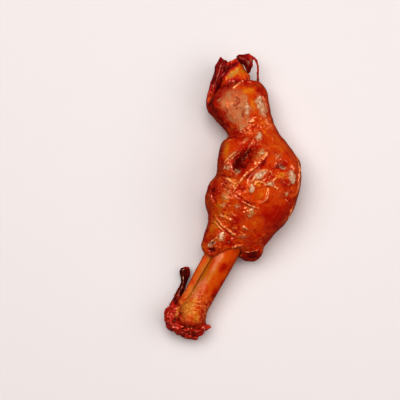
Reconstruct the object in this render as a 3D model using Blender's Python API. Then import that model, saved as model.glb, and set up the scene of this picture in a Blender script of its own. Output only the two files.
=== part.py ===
"""Braised lamb trotter, lying on its side as it comes out of the pot.

The lower leg of a lamb, from the cannon bone to the toes. The bone is bare where the skin has shrunk
back from its knuckle. It runs into a sleeve of glazed skin and meat, which is widest round the fetlock,
where the two dewclaws were, narrow at the pastern, and ends in a collar. Out of the collar come the ends
of the toes, without their horn: a long dark one on the left, the pad in the middle, and a short one on
the right with a string of skin that falls back to the collar. Dark gristle holds to the knuckle.

Metres, +Z up. +Y runs from the knuckle to the toes and +X to the right as the leg lies. The origin is at
the middle of the length and width, on the level that the leg rests on.
"""

from collections import namedtuple
from math import cos, pi, sin, sqrt

import bmesh
import bpy
import numpy as np
from mathutils import Vector, noise

MM = 0.001
GAP = 0.4 * MM  # between pieces that touch, such as the bone and the meat round it

# One cross-section of the leg: its left and right edge seen from above, and its lowest and highest point.
Section = namedtuple("Section", "left right low high")

# The sleeve of skin and meat, in mm, from the collar at the toes to the shrunk end on the bone.
# A low point under zero is where the soft meat has settled flat.
SLEEVE = (
    Section((-8.6, 75.0), (19.5, 78.8), 5.5, 25.5),
    Section((-13.8, 68.3), (24.6, 72.0), 3.0, 30.0),
    Section((-17.2, 59.5), (26.2, 62.0), 1.5, 33.0),
    Section((-12.0, 53.0), (28.0, 53.0), 2.0, 32.0),
    Section((-2.6, 41.3), (33.0, 41.5), 3.5, 30.5),
    Section((-7.5, 34.5), (38.5, 34.5), 1.0, 34.0),
    Section((-10.6, 22.5), (46.5, 22.0), -2.5, 39.5),
    Section((-11.0, 13.5), (47.8, 12.5), -3.5, 42.0),
    Section((-16.2, 6.0), (46.7, 3.0), -3.5, 42.0),
    Section((-19.0, -4.5), (43.5, -7.0), -3.0, 40.5),
    Section((-16.5, -15.0), (38.5, -17.5), -2.0, 37.0),
    Section((-18.7, -25.5), (30.0, -27.0), -1.0, 32.5),
    Section((-21.6, -35.0), (21.5, -37.0), 1.0, 27.0),
)
SLEEVE_SQUARENESS = 2.25  # 2 is an ellipse, and more is boxier
COLLAR_DISH = 4.5 * MM  # how far the middle of the collar sinks in
SHRUNK_END_BULGE = 5.0 * MM  # how far the shrunk end's middle comes out along the bone

# The bone: its centre line and half width and half height, in mm, from the joint inside to the knuckle.
BoneStation = namedtuple("BoneStation", "x y z half_width half_height")
BONE = (
    BoneStation(13.5, -4.0, 18.5, 9.4, 9.0),
    BoneStation(8.5, -16.0, 18.0, 8.4, 7.6),
    BoneStation(2.5, -28.5, 17.4, 8.2, 7.2),
    BoneStation(-5.6, -43.6, 16.4, 8.3, 7.2),
    BoneStation(-12.9, -55.9, 15.0, 8.6, 7.0),
    BoneStation(-19.6, -67.5, 13.7, 8.5, 7.3),
    BoneStation(-25.4, -77.0, 12.9, 9.1, 8.7),
    BoneStation(-28.6, -84.0, 12.4, 10.2, 10.0),
    BoneStation(-30.0, -88.5, 12.2, 9.4, 10.0),
)
BONE_END_BULGE = 2.6 * MM
# The cannon bone is two bones grown together. The second shows as a low rib on the left of the first,
# and runs into it towards the knuckle.
RIB_AWAY = (11.6 * MM, 7.0 * MM)  # from the first bone's centre to the rib's, at either end
RIB_DROP = 2.2 * MM
RIB_RADIUS = 3.6 * MM
RIB_SEAM_DEPTH = 1.3 * MM

# The gristle round the knuckle, in mm, from the meat's side to the free end.
GRISTLE = (
    Section((-42.0, -75.0), (-24.5, -84.5), 3.0, 15.0),
    Section((-46.5, -81.0), (-19.0, -88.0), -0.5, 18.5),
    Section((-46.8, -89.5), (-17.6, -92.0), -1.0, 19.5),
    Section((-39.5, -94.0), (-20.0, -95.8), -0.5, 18.0),
    Section((-34.0, -97.0), (-24.5, -97.8), 3.0, 14.0),
)
# A torn end of sinew lies along the bone's left, and a short one stands out on the right.
SINEW = (
    (-41.0, -82.0, 7.5, 3.6, 3.2),
    (-39.0, -74.5, 7.0, 2.8, 2.6),
    (-37.6, -69.5, 6.0, 2.6, 2.3),
    (-34.6, -64.0, 5.2, 2.3, 2.1),
    (-32.9, -59.5, 4.6, 2.3, 2.0),
    (-32.4, -55.5, 4.6, 3.5, 2.2),
    (-32.6, -52.5, 4.8, 3.6, 2.0),
)
SHORT_SINEW = (
    (-22.0, -92.0, 9.0, 2.2, 2.4),
    (-18.5, -91.6, 9.2, 1.7, 1.9),
    (-16.0, -91.1, 9.4, 0.9, 1.0),
)

# A toe end's centre line and half width and half height, in mm, from inside the collar to its tip.
ToeStation = namedtuple("ToeStation", "x y z half_width half_height")
LONG_TOE = (
    ToeStation(-16.8, 60.5, 12.5, 0.9, 2.2),
    ToeStation(-16.2, 63.5, 13.2, 1.7, 4.0),
    ToeStation(-15.4, 66.8, 14.0, 2.3, 5.2),
    ToeStation(-13.5, 72.3, 15.0, 3.1, 6.4),
    ToeStation(-11.3, 78.0, 15.5, 3.6, 6.8),
    ToeStation(-9.5, 83.7, 15.5, 3.3, 6.6),
    ToeStation(-7.4, 89.4, 15.5, 4.6, 5.8),
    ToeStation(-7.3, 93.6, 15.5, 2.9, 4.0),
    ToeStation(-7.9, 96.6, 15.5, 0.9, 1.3),
)
PAD = (
    ToeStation(3.6, 70.0, 14.0, 8.0, 6.0),
    ToeStation(2.2, 76.5, 14.6, 10.6, 7.4),
    ToeStation(2.4, 83.0, 15.3, 10.4, 7.0),
    ToeStation(2.6, 88.2, 16.0, 8.0, 5.6),
    ToeStation(4.0, 91.8, 16.5, 5.2, 3.8),
    ToeStation(5.2, 94.0, 16.8, 2.6, 2.2),
)
SHORT_TOE = (
    ToeStation(11.3, 86.2, 17.5, 0.8, 1.2),
    ToeStation(11.6, 88.8, 17.8, 2.2, 3.4),
    ToeStation(11.5, 91.2, 18.2, 3.2, 5.0),
    ToeStation(10.8, 93.5, 18.6, 4.5, 5.4),
    ToeStation(9.9, 95.7, 19.0, 5.2, 4.6),
    ToeStation(9.5, 97.2, 19.4, 3.8, 3.0),
)
# The string of skin from the short toe back to the collar.
STRING = (
    (13.0, 96.0, 19.6),
    (15.6, 95.2, 20.4),
    (17.4, 92.3, 20.3),
    (18.2, 88.5, 19.8),
    (18.1, 84.5, 19.0),
    (18.2, 80.0, 17.6),
    (17.4, 75.0, 15.5),
)
STRING_RADIUS = 0.85 * MM

# Steps round and along each piece. They keep the whole under 14,000 triangles.
SLEEVE_STEPS = (72, 56)
BONE_STEPS = (32, 24)
GRISTLE_STEPS = (30, 14)
SINEW_STEPS = (12, 14)
TOE_STEPS = (16, 13)
STRING_STEPS = (8, 13)
CROWN_BIAS = 0.4  # brings the steps round the sleeve closer together on its upper side

# A crease or ridge in the skin, in mm: where it runs seen from above, how wide it is, and how far it
# sinks (or, if negative, stands up). Lip is how far the skin stands up along its lower edge.
Fold = namedtuple("Fold", "path width depth lip")
FOLDS = (
    Fold(((-2.0, 71.5), (4.5, 76.0), (10.5, 78.6), (17.5, 77.0)), 3.4, -1.4, 0.0),
    Fold(((-7.0, 41.0), (1.0, 40.0), (9.0, 37.5)), 4.0, 1.8, 0.5),
    Fold(((24.0, 32.0), (18.2, 21.0), (12.5, 15.0), (7.4, 9.5), (2.6, 2.6)), 4.6, -2.0, 0.0),
    Fold(((-15.0, 13.0), (-7.0, 11.0), (1.0, 9.5)), 3.8, 1.9, 0.6),
    Fold(((0.0, 0.0), (10.1, -4.3), (22.0, -10.2)), 4.0, 1.7, 0.8),
    Fold(((26.5, 5.0), (25.4, -1.0), (22.0, -5.8), (17.5, -8.5)), 3.6, -1.1, 0.0),
    Fold(((11.8, 1.0), (15.0, 9.0), (21.2, 15.0), (33.0, 6.0)), 4.0, -0.8, 0.0),
)
# Wrinkles where the skin has slid down the leg: the first and the last, with equal steps between them.
WRINKLES_FROM = ((-14.5, 3.5), (-6.0, -1.5), (2.0, -5.0))
WRINKLES_TO = ((-16.0, -20.0), (-7.5, -26.5), (1.5, -33.5))
WRINKLE_COUNT = 5
WRINKLE_WIDTH = 3.6
WRINKLE_DEPTH = 1.2

# A hollow or, if its depth is negative, a swelling: its centre, half length and half width and its long
# axis's direction seen from above, in mm and degrees.
Hollow = namedtuple("Hollow", "x y half_length half_width direction depth")
HOLLOWS = (
    Hollow(8.2, 23.5, 11.5, 5.2, 58, 7.0),  # where the first dewclaw was
    Hollow(33.8, 19.9, 5.2, 3.8, 35, 2.6),  # where the second was
    Hollow(-3.7, 24.5, 12.0, 7.0, 80, -2.2),  # the lobe beside the first
    Hollow(-9.0, -34.0, 8.0, 6.0, 60, -1.6),  # the lobe over the rib
)
SKIN_UNEVENNESS = 0.55 * MM
SKIN_LUMP = 11 * MM
GRISTLE_UNEVENNESS = 2.2 * MM
GRISTLE_LUMP = 6 * MM
TOE_UNEVENNESS = 0.7 * MM
TOE_LUMP = 4 * MM


def material(name, colour, roughness):
    made = bpy.data.materials.new(name)
    made.use_nodes = True
    shader = made.node_tree.nodes["Principled BSDF"]
    shader.inputs["Base Color"].default_value = (*colour, 1.0)
    shader.inputs["Roughness"].default_value = roughness
    shader.inputs["Metallic"].default_value = 0.0
    return made


def along_rows(rows, share):
    """The row at a share of the way down a table, on a smooth curve through all of its rows."""
    place = min(max(share, 0.0), 1.0) * (len(rows) - 1)
    first = min(int(place), len(rows) - 2)
    t = place - first
    before, start, end, after = (rows[min(max(first + k, 0), len(rows) - 1)] for k in (-1, 0, 1, 2))
    bend = (end - before) * t + (2 * before - 5 * start + 4 * end - after) * t**2
    return start + 0.5 * (bend + (3 * start - before - 3 * end + after) * t**3)


def smooth_step(low, high, values):
    share = np.clip((values - low) / (high - low), 0.0, 1.0)
    return share * share * (3 - 2 * share)


def tube(name, form, steps, finish):
    """An object made of one sheet rolled up and closed at both ends. form(turn, share) gives the point at
    a share of the way round and along."""
    around, along = steps
    bm = bmesh.new()
    bmesh.ops.create_grid(bm, x_segments=around, y_segments=along, size=0.5)
    for vertex in bm.verts:
        vertex.co = form(vertex.co.x + 0.5, vertex.co.y + 0.5)
    bmesh.ops.remove_doubles(bm, verts=bm.verts, dist=0.001 * MM)
    bmesh.ops.recalc_face_normals(bm, faces=bm.faces)
    return as_object(name, bm, finish)


def as_object(name, bm, finish):
    mesh = bpy.data.meshes.new(name)
    bm.to_mesh(mesh)
    bm.free()
    mesh.materials.append(finish)
    mesh.shade_smooth()
    made = bpy.data.objects.new(name, mesh)
    bpy.context.scene.collection.objects.link(made)
    return made


def points_of(obj):
    points = np.empty(len(obj.data.vertices) * 3, np.float32)
    obj.data.vertices.foreach_get("co", points)
    return points.reshape(-1, 3).astype(float)


def normals_of(obj):
    normals = np.empty(len(obj.data.vertices) * 3, np.float32)
    obj.data.vertex_normals.foreach_get("vector", normals)
    return normals.reshape(-1, 3).astype(float)


def move_out(obj, heights):
    """Moves each vertex of obj along its normal."""
    moved = points_of(obj) + normals_of(obj) * heights[:, None]
    obj.data.vertices.foreach_set("co", moved.astype(np.float32).ravel())
    obj.data.update()


def relax(obj, factor, times):
    bm = bmesh.new()
    bm.from_mesh(obj.data)
    for _ in range(times):
        bmesh.ops.smooth_vert(bm, verts=bm.verts, factor=factor, use_axis_x=True, use_axis_y=True, use_axis_z=True)
    bm.to_mesh(obj.data)
    bm.free()


def settle(obj):
    """Flattens what would be under the level that the leg rests on."""
    points = points_of(obj)
    points[:, 2] = np.maximum(points[:, 2], 0.0)
    obj.data.vertices.foreach_set("co", points.astype(np.float32).ravel())
    obj.data.update()


def lumps(obj, size, height, seed):
    """Uneven lumps of about that size and height, the same ones every time."""
    shift = Vector((seed * 17.3, seed * 5.1, seed * 9.7))
    values = [noise.fractal(Vector(p) / size + shift, 1.0, 2.0, 3) for p in points_of(obj)]
    return height * np.array(values)


def fold_heights(points, facing_up, fold):
    """How far a fold lifts each point."""
    rows = np.array(fold.path) * MM
    line = np.array([along_rows(rows, k / 24) for k in range(25)])
    steps = np.diff(line, axis=0)
    lengths = np.linalg.norm(steps, axis=1)
    offset = points[:, None, :2] - line[None, :-1]
    share = np.clip((offset * steps).sum(2) / lengths**2, 0.0, 1.0)
    away = offset - share[..., None] * steps
    distance = np.linalg.norm(away, axis=2)
    nearest = distance.argmin(axis=1)
    row = np.arange(len(points))
    across = steps[nearest, 0] * offset[row, nearest, 1] - steps[nearest, 1] * offset[row, nearest, 0]
    signed = distance[row, nearest] * np.where(across < 0, -1.0, 1.0) / (fold.width * MM)
    run = (nearest + share[row, nearest]) / len(steps)
    ends = smooth_step(0.0, 0.18, run) * smooth_step(0.0, 0.18, 1 - run)
    valley = -fold.depth * np.exp(-((signed / 0.42) ** 2))
    lip = fold.lip * np.exp(-(((signed + 0.85) / 0.45) ** 2))
    return (valley + lip) * MM * ends * facing_up


def hollow_heights(points, facing_up, hollow):
    """How far a hollow lowers each point, or a swelling lifts it."""
    turn = hollow.direction * pi / 180
    x = points[:, 0] - hollow.x * MM
    y = points[:, 1] - hollow.y * MM
    long_way = (x * cos(turn) + y * sin(turn)) / (hollow.half_length * MM)
    wide_way = (y * cos(turn) - x * sin(turn)) / (hollow.half_width * MM)
    reach = np.sqrt(long_way**2 + wide_way**2)
    return -hollow.depth * MM * (1 - smooth_step(0.15, 1.25, reach)) * facing_up


def wrinkles():
    first, last = np.array(WRINKLES_FROM), np.array(WRINKLES_TO)
    for k in range(WRINKLE_COUNT):
        share = k / (WRINKLE_COUNT - 1)
        path = first + (last - first) * share
        yield Fold(tuple(map(tuple, path)), WRINKLE_WIDTH, WRINKLE_DEPTH * (0.8 + 0.4 * (k % 2)), 0.5)


def section_point(row, turn, squareness, scale=1.0, forward=0.0):
    """A point on a cross-section. row holds a Section's six numbers, turn is an angle from the right edge
    over the top, scale draws the point in to the middle, and forward moves it along the leg."""
    left, right = Vector((row[0], row[1], 0)) * MM, Vector((row[2], row[3], 0)) * MM
    low, high = row[4] * MM, row[5] * MM
    middle = (left + right) / 2 + Vector((0, 0, (low + high) / 2))
    side = (right - left) / 2
    up = Vector((0, 0, (high - low) / 2))
    ahead = Vector((side.y, -side.x, 0)).normalized()
    c, s = cos(turn), sin(turn)
    across = abs(c) ** (2 / squareness) * (1 if c >= 0 else -1)
    over = abs(s) ** (2 / squareness) * (1 if s >= 0 else -1)
    return middle + (side * across + up * over) * scale + ahead * forward


def table_of(sections):
    return np.array([[*s.left, *s.right, s.low, s.high] for s in sections], float)


def shrunk_rim(turn):
    """How far the sleeve's shrunk end runs on down the bone, round the leg: most at the lower right, where
    the meat hangs behind the bone, some at the left over the rib, and least over the bone's top."""
    behind = 5.5 * max(0.0, cos(turn - 5.75)) ** 3
    over_rib = 7.0 * max(0.0, cos(turn - 2.45)) ** 6
    over_top = -3.0 * max(0.0, cos(turn - 1.35)) ** 4
    return (behind + over_rib + over_top) * MM


def sleeve_form(turn_share, share):
    """A point of the sleeve. The first and last rings close it: a dish in the collar, and a rounded end."""
    table = table_of(SLEEVE)
    evenly = 2 * pi * turn_share
    turn = evenly + CROWN_BIAS * cos(evenly)
    closing = 0.09
    if share < closing:
        into = 1 - share / closing
        dish = COLLAR_DISH * (smooth_step(0.25, 0.9, into) - 0.35 * sin(pi * min(1.0, into / 0.5)))
        return section_point(table[0], turn, SLEEVE_SQUARENESS, 1 - into**1.4, dish)
    if share > 1 - closing:
        out = (share - 1 + closing) / closing
        forward = SHRUNK_END_BULGE * sin(pi / 2 * out) + shrunk_rim(turn) * (1 - out**2) * out * 2.0
        return section_point(table[-1], turn, SLEEVE_SQUARENESS, sqrt(max(0.0, 1 - out**2.4)), forward)
    along = (share - closing) / (1 - 2 * closing)
    return section_point(along_rows(table, along), turn, SLEEVE_SQUARENESS)


def station_point(rows, turn, share, outline, bulge):
    """A point of a piece with a centre line: rows hold x, y, z, half width and half height in mm."""
    closing = 0.12
    along = min(max((share - closing) / (1 - 2 * closing), 0.0), 1.0)
    row = along_rows(rows, along) * MM
    ahead = along_rows(rows, along + 0.02) - along_rows(rows, along - 0.02)
    ahead = Vector(ahead[:3]).normalized()
    side = ahead.cross(Vector((0, 0, 1))).normalized()
    over = side.cross(ahead)
    scale, forward = 1.0, 0.0
    if share < closing or share > 1 - closing:
        out = (1 - share / closing) if share < closing else (share - 1 + closing) / closing
        scale = sqrt(max(0.0, 1 - out**2.2))
        forward = bulge * sin(pi / 2 * out) * (-1 if share < closing else 1)
    across, up = outline(turn, row[3], row[4], along)
    return Vector(row[:3]) + (side * across + over * up) * scale + ahead * forward


def oval(turn, half_width, half_height, along):
    return half_width * cos(turn), half_height * sin(turn)


def cannon_outline(turn, half_width, half_height, along):
    """The bone's cross-section: the farther of the first bone's oval and the second's circle, seen from
    the first one's centre, with a seam sunk on either side of the second."""
    c, s = cos(turn), sin(turn)
    first = 1 / sqrt((c / half_width) ** 2 + (s / half_height) ** 2)
    away = RIB_AWAY[0] + (RIB_AWAY[1] - RIB_AWAY[0]) * along
    toward = c * away - s * RIB_DROP
    inside = RIB_RADIUS**2 - (away**2 + RIB_DROP**2) + toward**2
    second = toward + sqrt(inside) if inside > 0 and toward > 0 else 0.0
    radius = max(first, second)
    if second <= first and toward > 0:
        radius -= RIB_SEAM_DEPTH * np.exp(inside / (6 * MM) ** 2)
    return radius * c, radius * s


def clear():
    for obj in list(bpy.data.objects):
        bpy.data.objects.remove(obj, do_unlink=True)


def piece(name, rows, steps, outline, bulge, finish):
    table = np.array(rows, float)
    return tube(name, lambda u, v: station_point(table, 2 * pi * u, v, outline, bulge), steps, finish)


def socket(obj):
    """A cutter the shape of obj and GAP larger all round, for the piece that obj is set into."""
    cutter = bpy.data.objects.new(obj.name + ".socket", obj.data.copy())
    bpy.context.scene.collection.objects.link(cutter)
    grow = cutter.modifiers.new("room", "DISPLACE")
    grow.strength = GAP
    grow.mid_level = 0.0
    cutter.hide_render = True
    cutter.display_type = "WIRE"
    return cutter


def cut(obj, cutters):
    for cutter in cutters:
        boolean = obj.modifiers.new("cut for " + cutter.name, "BOOLEAN")
        boolean.operation = "DIFFERENCE"
        boolean.solver = "EXACT"
        boolean.object = cutter


def join(obj, other):
    """Makes other part of obj's solid, and removes it."""
    boolean = obj.modifiers.new("join", "BOOLEAN")
    boolean.operation = "UNION"
    boolean.solver = "EXACT"
    boolean.object = other
    graph = bpy.context.evaluated_depsgraph_get()
    joined = bpy.data.meshes.new_from_object(obj.evaluated_get(graph))
    obj.modifiers.clear()
    obj.data = joined
    bpy.data.objects.remove(other, do_unlink=True)


def make_sleeve(finish):
    sleeve = tube("skin_and_meat", sleeve_form, SLEEVE_STEPS, finish)
    move_out(sleeve, lumps(sleeve, SKIN_LUMP, SKIN_UNEVENNESS, 1))
    points, facing_up = points_of(sleeve), smooth_step(0.0, 0.45, normals_of(sleeve)[:, 2])
    heights = sum(fold_heights(points, facing_up, fold) for fold in (*FOLDS, *wrinkles()))
    heights = heights + sum(hollow_heights(points, facing_up, hollow) for hollow in HOLLOWS)
    move_out(sleeve, heights)
    relax(sleeve, 0.5, 1)
    settle(sleeve)
    return sleeve


def make_bone(finish):
    return piece("cannon_bone", BONE, BONE_STEPS, cannon_outline, BONE_END_BULGE, finish)


def make_gristle(finish):
    table = table_of(GRISTLE)

    def form(u, v):
        closing = 0.2
        turn = 2 * pi * u
        along = min(max((v - closing) / (1 - 2 * closing), 0.0), 1.0)
        out = max((closing - v) / closing, (v - 1 + closing) / closing, 0.0)
        forward = 1.8 * MM * out * (1 if v > 0.5 else -1)
        return section_point(along_rows(table, along), turn, 2.2, sqrt(max(0.0, 1 - out**2)), forward)

    gristle = tube("knuckle_gristle", form, GRISTLE_STEPS, finish)
    sinew = piece("sinew", SINEW, SINEW_STEPS, oval, 1.0 * MM, finish)
    short_sinew = piece("short_sinew", SHORT_SINEW, STRING_STEPS, oval, 0.8 * MM, finish)
    for number, solid in enumerate((gristle, sinew, short_sinew)):
        height = GRISTLE_UNEVENNESS * (1.0 if solid is gristle else 0.4)
        move_out(solid, lumps(solid, GRISTLE_LUMP, height, 6 + number))
    settle(gristle)
    join(gristle, sinew)
    join(gristle, short_sinew)
    return gristle


def make_toes(dark, pale):
    long_toe = piece("long_toe", LONG_TOE, TOE_STEPS, oval, 0.6 * MM, dark)
    pad = piece("toe_pad", PAD, TOE_STEPS, oval, 1.5 * MM, pale)
    short_toe = piece("short_toe", SHORT_TOE, TOE_STEPS, oval, 1.0 * MM, dark)
    for number, toe in enumerate((long_toe, pad, short_toe)):
        move_out(toe, lumps(toe, TOE_LUMP, TOE_UNEVENNESS, 3 + number))
    rows = [(*point, STRING_RADIUS / MM, STRING_RADIUS / MM) for point in STRING]
    join(short_toe, piece("skin_string", rows, STRING_STEPS, oval, STRING_RADIUS, dark))
    return long_toe, pad, short_toe


def main():
    clear()
    skin = material("glazed skin", (0.50, 0.055, 0.006), 0.25)
    bone_finish = material("stained bone", (0.62, 0.17, 0.03), 0.4)
    dark = material("dark gristle", (0.22, 0.018, 0.010), 0.35)
    pale = material("toe pad", (0.52, 0.15, 0.02), 0.35)
    bone = make_bone(bone_finish)
    gristle = make_gristle(dark)
    long_toe, pad, short_toe = make_toes(dark, pale)
    sleeve = make_sleeve(skin)
    long_socket, short_socket, pad_socket = map(socket, (long_toe, short_toe, pad))
    bone_socket = socket(bone)
    cut(pad, (long_socket, short_socket))
    cut(gristle, (bone_socket,))
    cut(sleeve, (bone_socket, long_socket, short_socket, pad_socket))


if __name__ == "__main__":
    main()
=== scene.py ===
"""The looks of a braised lamb trotter: glazed and wrinkled skin, a stained cannon bone, dark gristle on its
knuckle, and the ends of the toes, on a pale floor in soft light.

Each piece starts as a copy of its solid. It is remeshed finely, worked over with folds, pits and wrinkles,
and given a procedural finish, with painted shade in its hollows and creases and painted highlights and sheen
in places. The tables say where the details are in millimetres, X to the right and Y from the knuckle to the
toes, as an eye at the camera's place sees them.
"""

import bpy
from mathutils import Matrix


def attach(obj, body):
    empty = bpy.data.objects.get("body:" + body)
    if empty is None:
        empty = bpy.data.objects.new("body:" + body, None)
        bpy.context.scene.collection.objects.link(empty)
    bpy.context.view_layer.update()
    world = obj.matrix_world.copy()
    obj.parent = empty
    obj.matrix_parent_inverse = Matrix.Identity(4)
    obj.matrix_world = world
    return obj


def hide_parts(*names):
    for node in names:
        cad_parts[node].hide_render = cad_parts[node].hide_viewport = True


bl_info = {
    "name": "Braised Lamb Trotter",
    "version": (1, 0, 0),
    "blender": (4, 5, 0),
    "location": "View3D > Sidebar > Trotter",
    "description": "Dresses the solids of a braised lamb trotter in skin, bone, gristle and glaze",
    "category": "Object",
}

from collections import namedtuple
from math import cos, pi, radians, sin

import bmesh
import bpy
import numpy as np
from bpy.props import FloatProperty, FloatVectorProperty, PointerProperty
from mathutils import Vector, noise

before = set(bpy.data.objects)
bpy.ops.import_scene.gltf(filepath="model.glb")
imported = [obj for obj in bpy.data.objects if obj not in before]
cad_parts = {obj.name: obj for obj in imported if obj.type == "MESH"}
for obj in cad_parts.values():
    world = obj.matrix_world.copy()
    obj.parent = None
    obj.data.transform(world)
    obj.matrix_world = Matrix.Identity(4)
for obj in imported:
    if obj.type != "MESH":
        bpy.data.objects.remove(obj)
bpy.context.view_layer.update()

MM = 0.001
BODY = "root"
# A piece with more triangles than this is thinned out.
MOST_TRIANGLES = 195_000
# Corners of a solid's loose triangles that are nearer to each other than this are one.
SAME_PLACE = 0.002 * MM

# What the middle of the picture shows, and how high above the horizon and how far from there the eye is.
AIM = (-0.0223, -0.0043, 0.018)
EYE_ELEVATION = radians(83.0)
EYE_DISTANCE = 0.8

# A stroke across a piece: where it runs, how wide it is, and how high it stands, or how deep it sinks if that
# is negative. Lip is how far the piece stands up beside it, on its right as it runs.
Stroke = namedtuple("Stroke", "path width height lip", defaults=(0.0,))
# A round or oval place: its centre, half length, half width, the direction of its length in degrees, and a
# height or a share.
Spot = namedtuple("Spot", "x y long wide direction amount")
# A patch of fine wrinkles: a place as a spot's, and then the way that the wrinkles run, their spacing and
# their height.
Field = namedtuple("Field", "x y long wide direction run spacing height")
# What is within reach of a place is drawn along by a way, and less so the further it is from the place.
Pull = namedtuple("Pull", "x y reach way")

# The skin's folds, ridges and creases, from the collar at the toes to the hem on the bone.
COLLAR_STROKES = (
    Stroke(((8.8, 79.0), (6.7, 77.6), (4.3, 75.8), (1.9, 74.1), (-0.6, 72.0)), 1.8, 0.8),
    Stroke(((8.8, 80.0), (5.3, 79.3), (2.3, 77.6), (-1.6, 75.6), (-4.3, 74.0)), 1.6, 0.4),
    Stroke(((11.5, 79.7), (8.1, 80.5), (4.6, 79.9), (1.9, 78.5), (-1.6, 76.6), (-4.3, 75.4)), 1.6, -0.9),
    Stroke(((9.5, 79.6), (11.5, 78.8), (14.3, 77.8), (17.7, 77.0)), 1.5, -0.8, 0.2),
    Stroke(((8.8, 74.4), (12.2, 74.0), (15.2, 75.6), (18.4, 76.2)), 1.5, -0.7, 0.3),
    Stroke(((10.5, 78.0), (12.6, 76.9), (14.3, 76.6)), 1.4, 0.5),
    Stroke(((-10.6, 74.0), (-7.1, 74.5), (-3.0, 73.8), (-0.9, 72.3)), 1.5, -0.7),
    Stroke(((-7.8, 78.2), (-9.5, 76.1), (-10.9, 73.7)), 1.3, 0.7),
    Stroke(((-0.4, 66.0), (1.9, 66.8), (4.2, 65.6), (4.6, 63.0), (3.0, 61.4), (0.6, 61.6), (-0.6, 64.0)),
           1.7, -1.3),
    Stroke(((1.0, 64.6), (2.6, 64.8), (3.2, 63.6), (2.2, 62.6)), 1.7, -1.3),
    Stroke(((-5.2, 66.4), (-4.6, 61.6), (-2.4, 57.0), (1.2, 52.8), (4.0, 49.8)), 1.2, 0.5),
    Stroke(((2.2, 59.6), (3.0, 58.4), (2.4, 57.2)), 1.7, -1.3),
    Stroke(((6.6, 59.0), (7.4, 56.2), (6.8, 53.8), (7.6, 51.6)), 1.7, -1.3),
    Stroke(((10.6, 66.2), (11.2, 61.6), (11.0, 57.0), (9.8, 52.6)), 1.1, 0.4),
)
# These go on over the side of the long toe.
EDGE_STROKES = (
    Stroke(((-15.2, 73.0), (-16.4, 69.6), (-16.9, 65.4), (-16.8, 61.7)), 1.5, 0.6),
    Stroke(((-12.6, 78.9), (-13.9, 74.4), (-15.0, 70.2), (-15.9, 65.4), (-15.7, 61.3)), 1.5, -0.8),
    Stroke(((-11.5, 71.0), (-13.2, 66.1), (-14.3, 60.5)), 1.3, 0.6),
    Stroke(((-10.7, 73.3), (-12.2, 67.5), (-13.5, 62.7), (-13.3, 58.2)), 1.4, -0.7),
)
NECK_STROKES = (
    Stroke(((3.4, 48.8), (6.3, 46.1), (9.2, 42.7)), 1.6, 0.7),
    Stroke(((9.3, 49.0), (12.6, 49.9), (16.2, 51.6)), 1.5, 0.6),
    Stroke(((5.5, 42.4), (9.5, 42.4), (13.8, 41.9)), 1.5, 0.8),
    Stroke(((5.5, 43.6), (9.5, 43.7), (14.0, 43.2)), 1.3, -0.7),
    Stroke(((11.8, 50.2), (15.0, 52.4), (17.8, 53.3)), 1.4, 0.5),
    Stroke(((-6.1, 38.2), (-3.0, 38.8), (0.5, 39.4), (5.3, 38.5)), 1.8, -1.1, 0.4),
    Stroke(((16.8, 41.0), (14.7, 37.8), (13.7, 35.7), (12.2, 32.5)), 1.3, 0.6),
    Stroke(((15.0, 41.2), (13.2, 37.8), (12.2, 35.2), (10.6, 32.6)), 1.4, -0.9),
    Stroke(((27.9, 40.0), (28.1, 37.1), (28.5, 33.9)), 1.1, 0.4),
)
DEWCLAW_STROKES = (
    Stroke(((-6.4, 20.6), (-4.8, 22.6), (-2.3, 25.0), (0.5, 27.3), (3.2, 29.8), (6.6, 32.6)), 1.3, 1.2),
    Stroke(((-4.6, 19.4), (-3.2, 21.0), (-0.2, 24.0), (3.0, 27.0), (6.0, 30.2)), 1.3, 1.2),
    Stroke(((-4.1, 21.7), (-0.9, 24.8), (2.0, 27.6), (4.9, 30.4)), 1.2, -0.7),
    Stroke(((-2.3, 20.0), (0.8, 23.2), (3.9, 26.1), (6.3, 28.8)), 1.3, -0.8),
    Stroke(((14.1, 37.8), (12.4, 33.5), (11.1, 30.2), (8.5, 27.6), (6.0, 24.4)), 1.3, 0.45),
    Stroke(((22.3, 31.9), (23.7, 29.5), (22.3, 25.0), (18.4, 20.4), (13.2, 16.6), (8.8, 12.8), (5.0, 8.6),
            (2.3, 4.6)), 2.2, 0.9),
    Stroke(((24.6, 28.2), (22.6, 22.6), (19.1, 18.9), (15.3, 15.3), (10.8, 11.6), (7.4, 7.7)), 2.2, -1.3),
    Stroke(((16.6, 28.6), (19.5, 27.2), (22.3, 28.1)), 1.2, 0.6),
    Stroke(((16.0, 26.0), (18.4, 24.3), (21.3, 25.2)), 1.2, 0.6),
    Stroke(((14.2, 23.1), (16.8, 21.3), (19.2, 22.3)), 1.2, 0.6),
    Stroke(((16.2, 27.4), (18.9, 25.8), (21.8, 26.6)), 1.1, -0.6),
    Stroke(((15.2, 24.6), (17.6, 22.8), (20.2, 23.8)), 1.1, -0.6),
)
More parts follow.
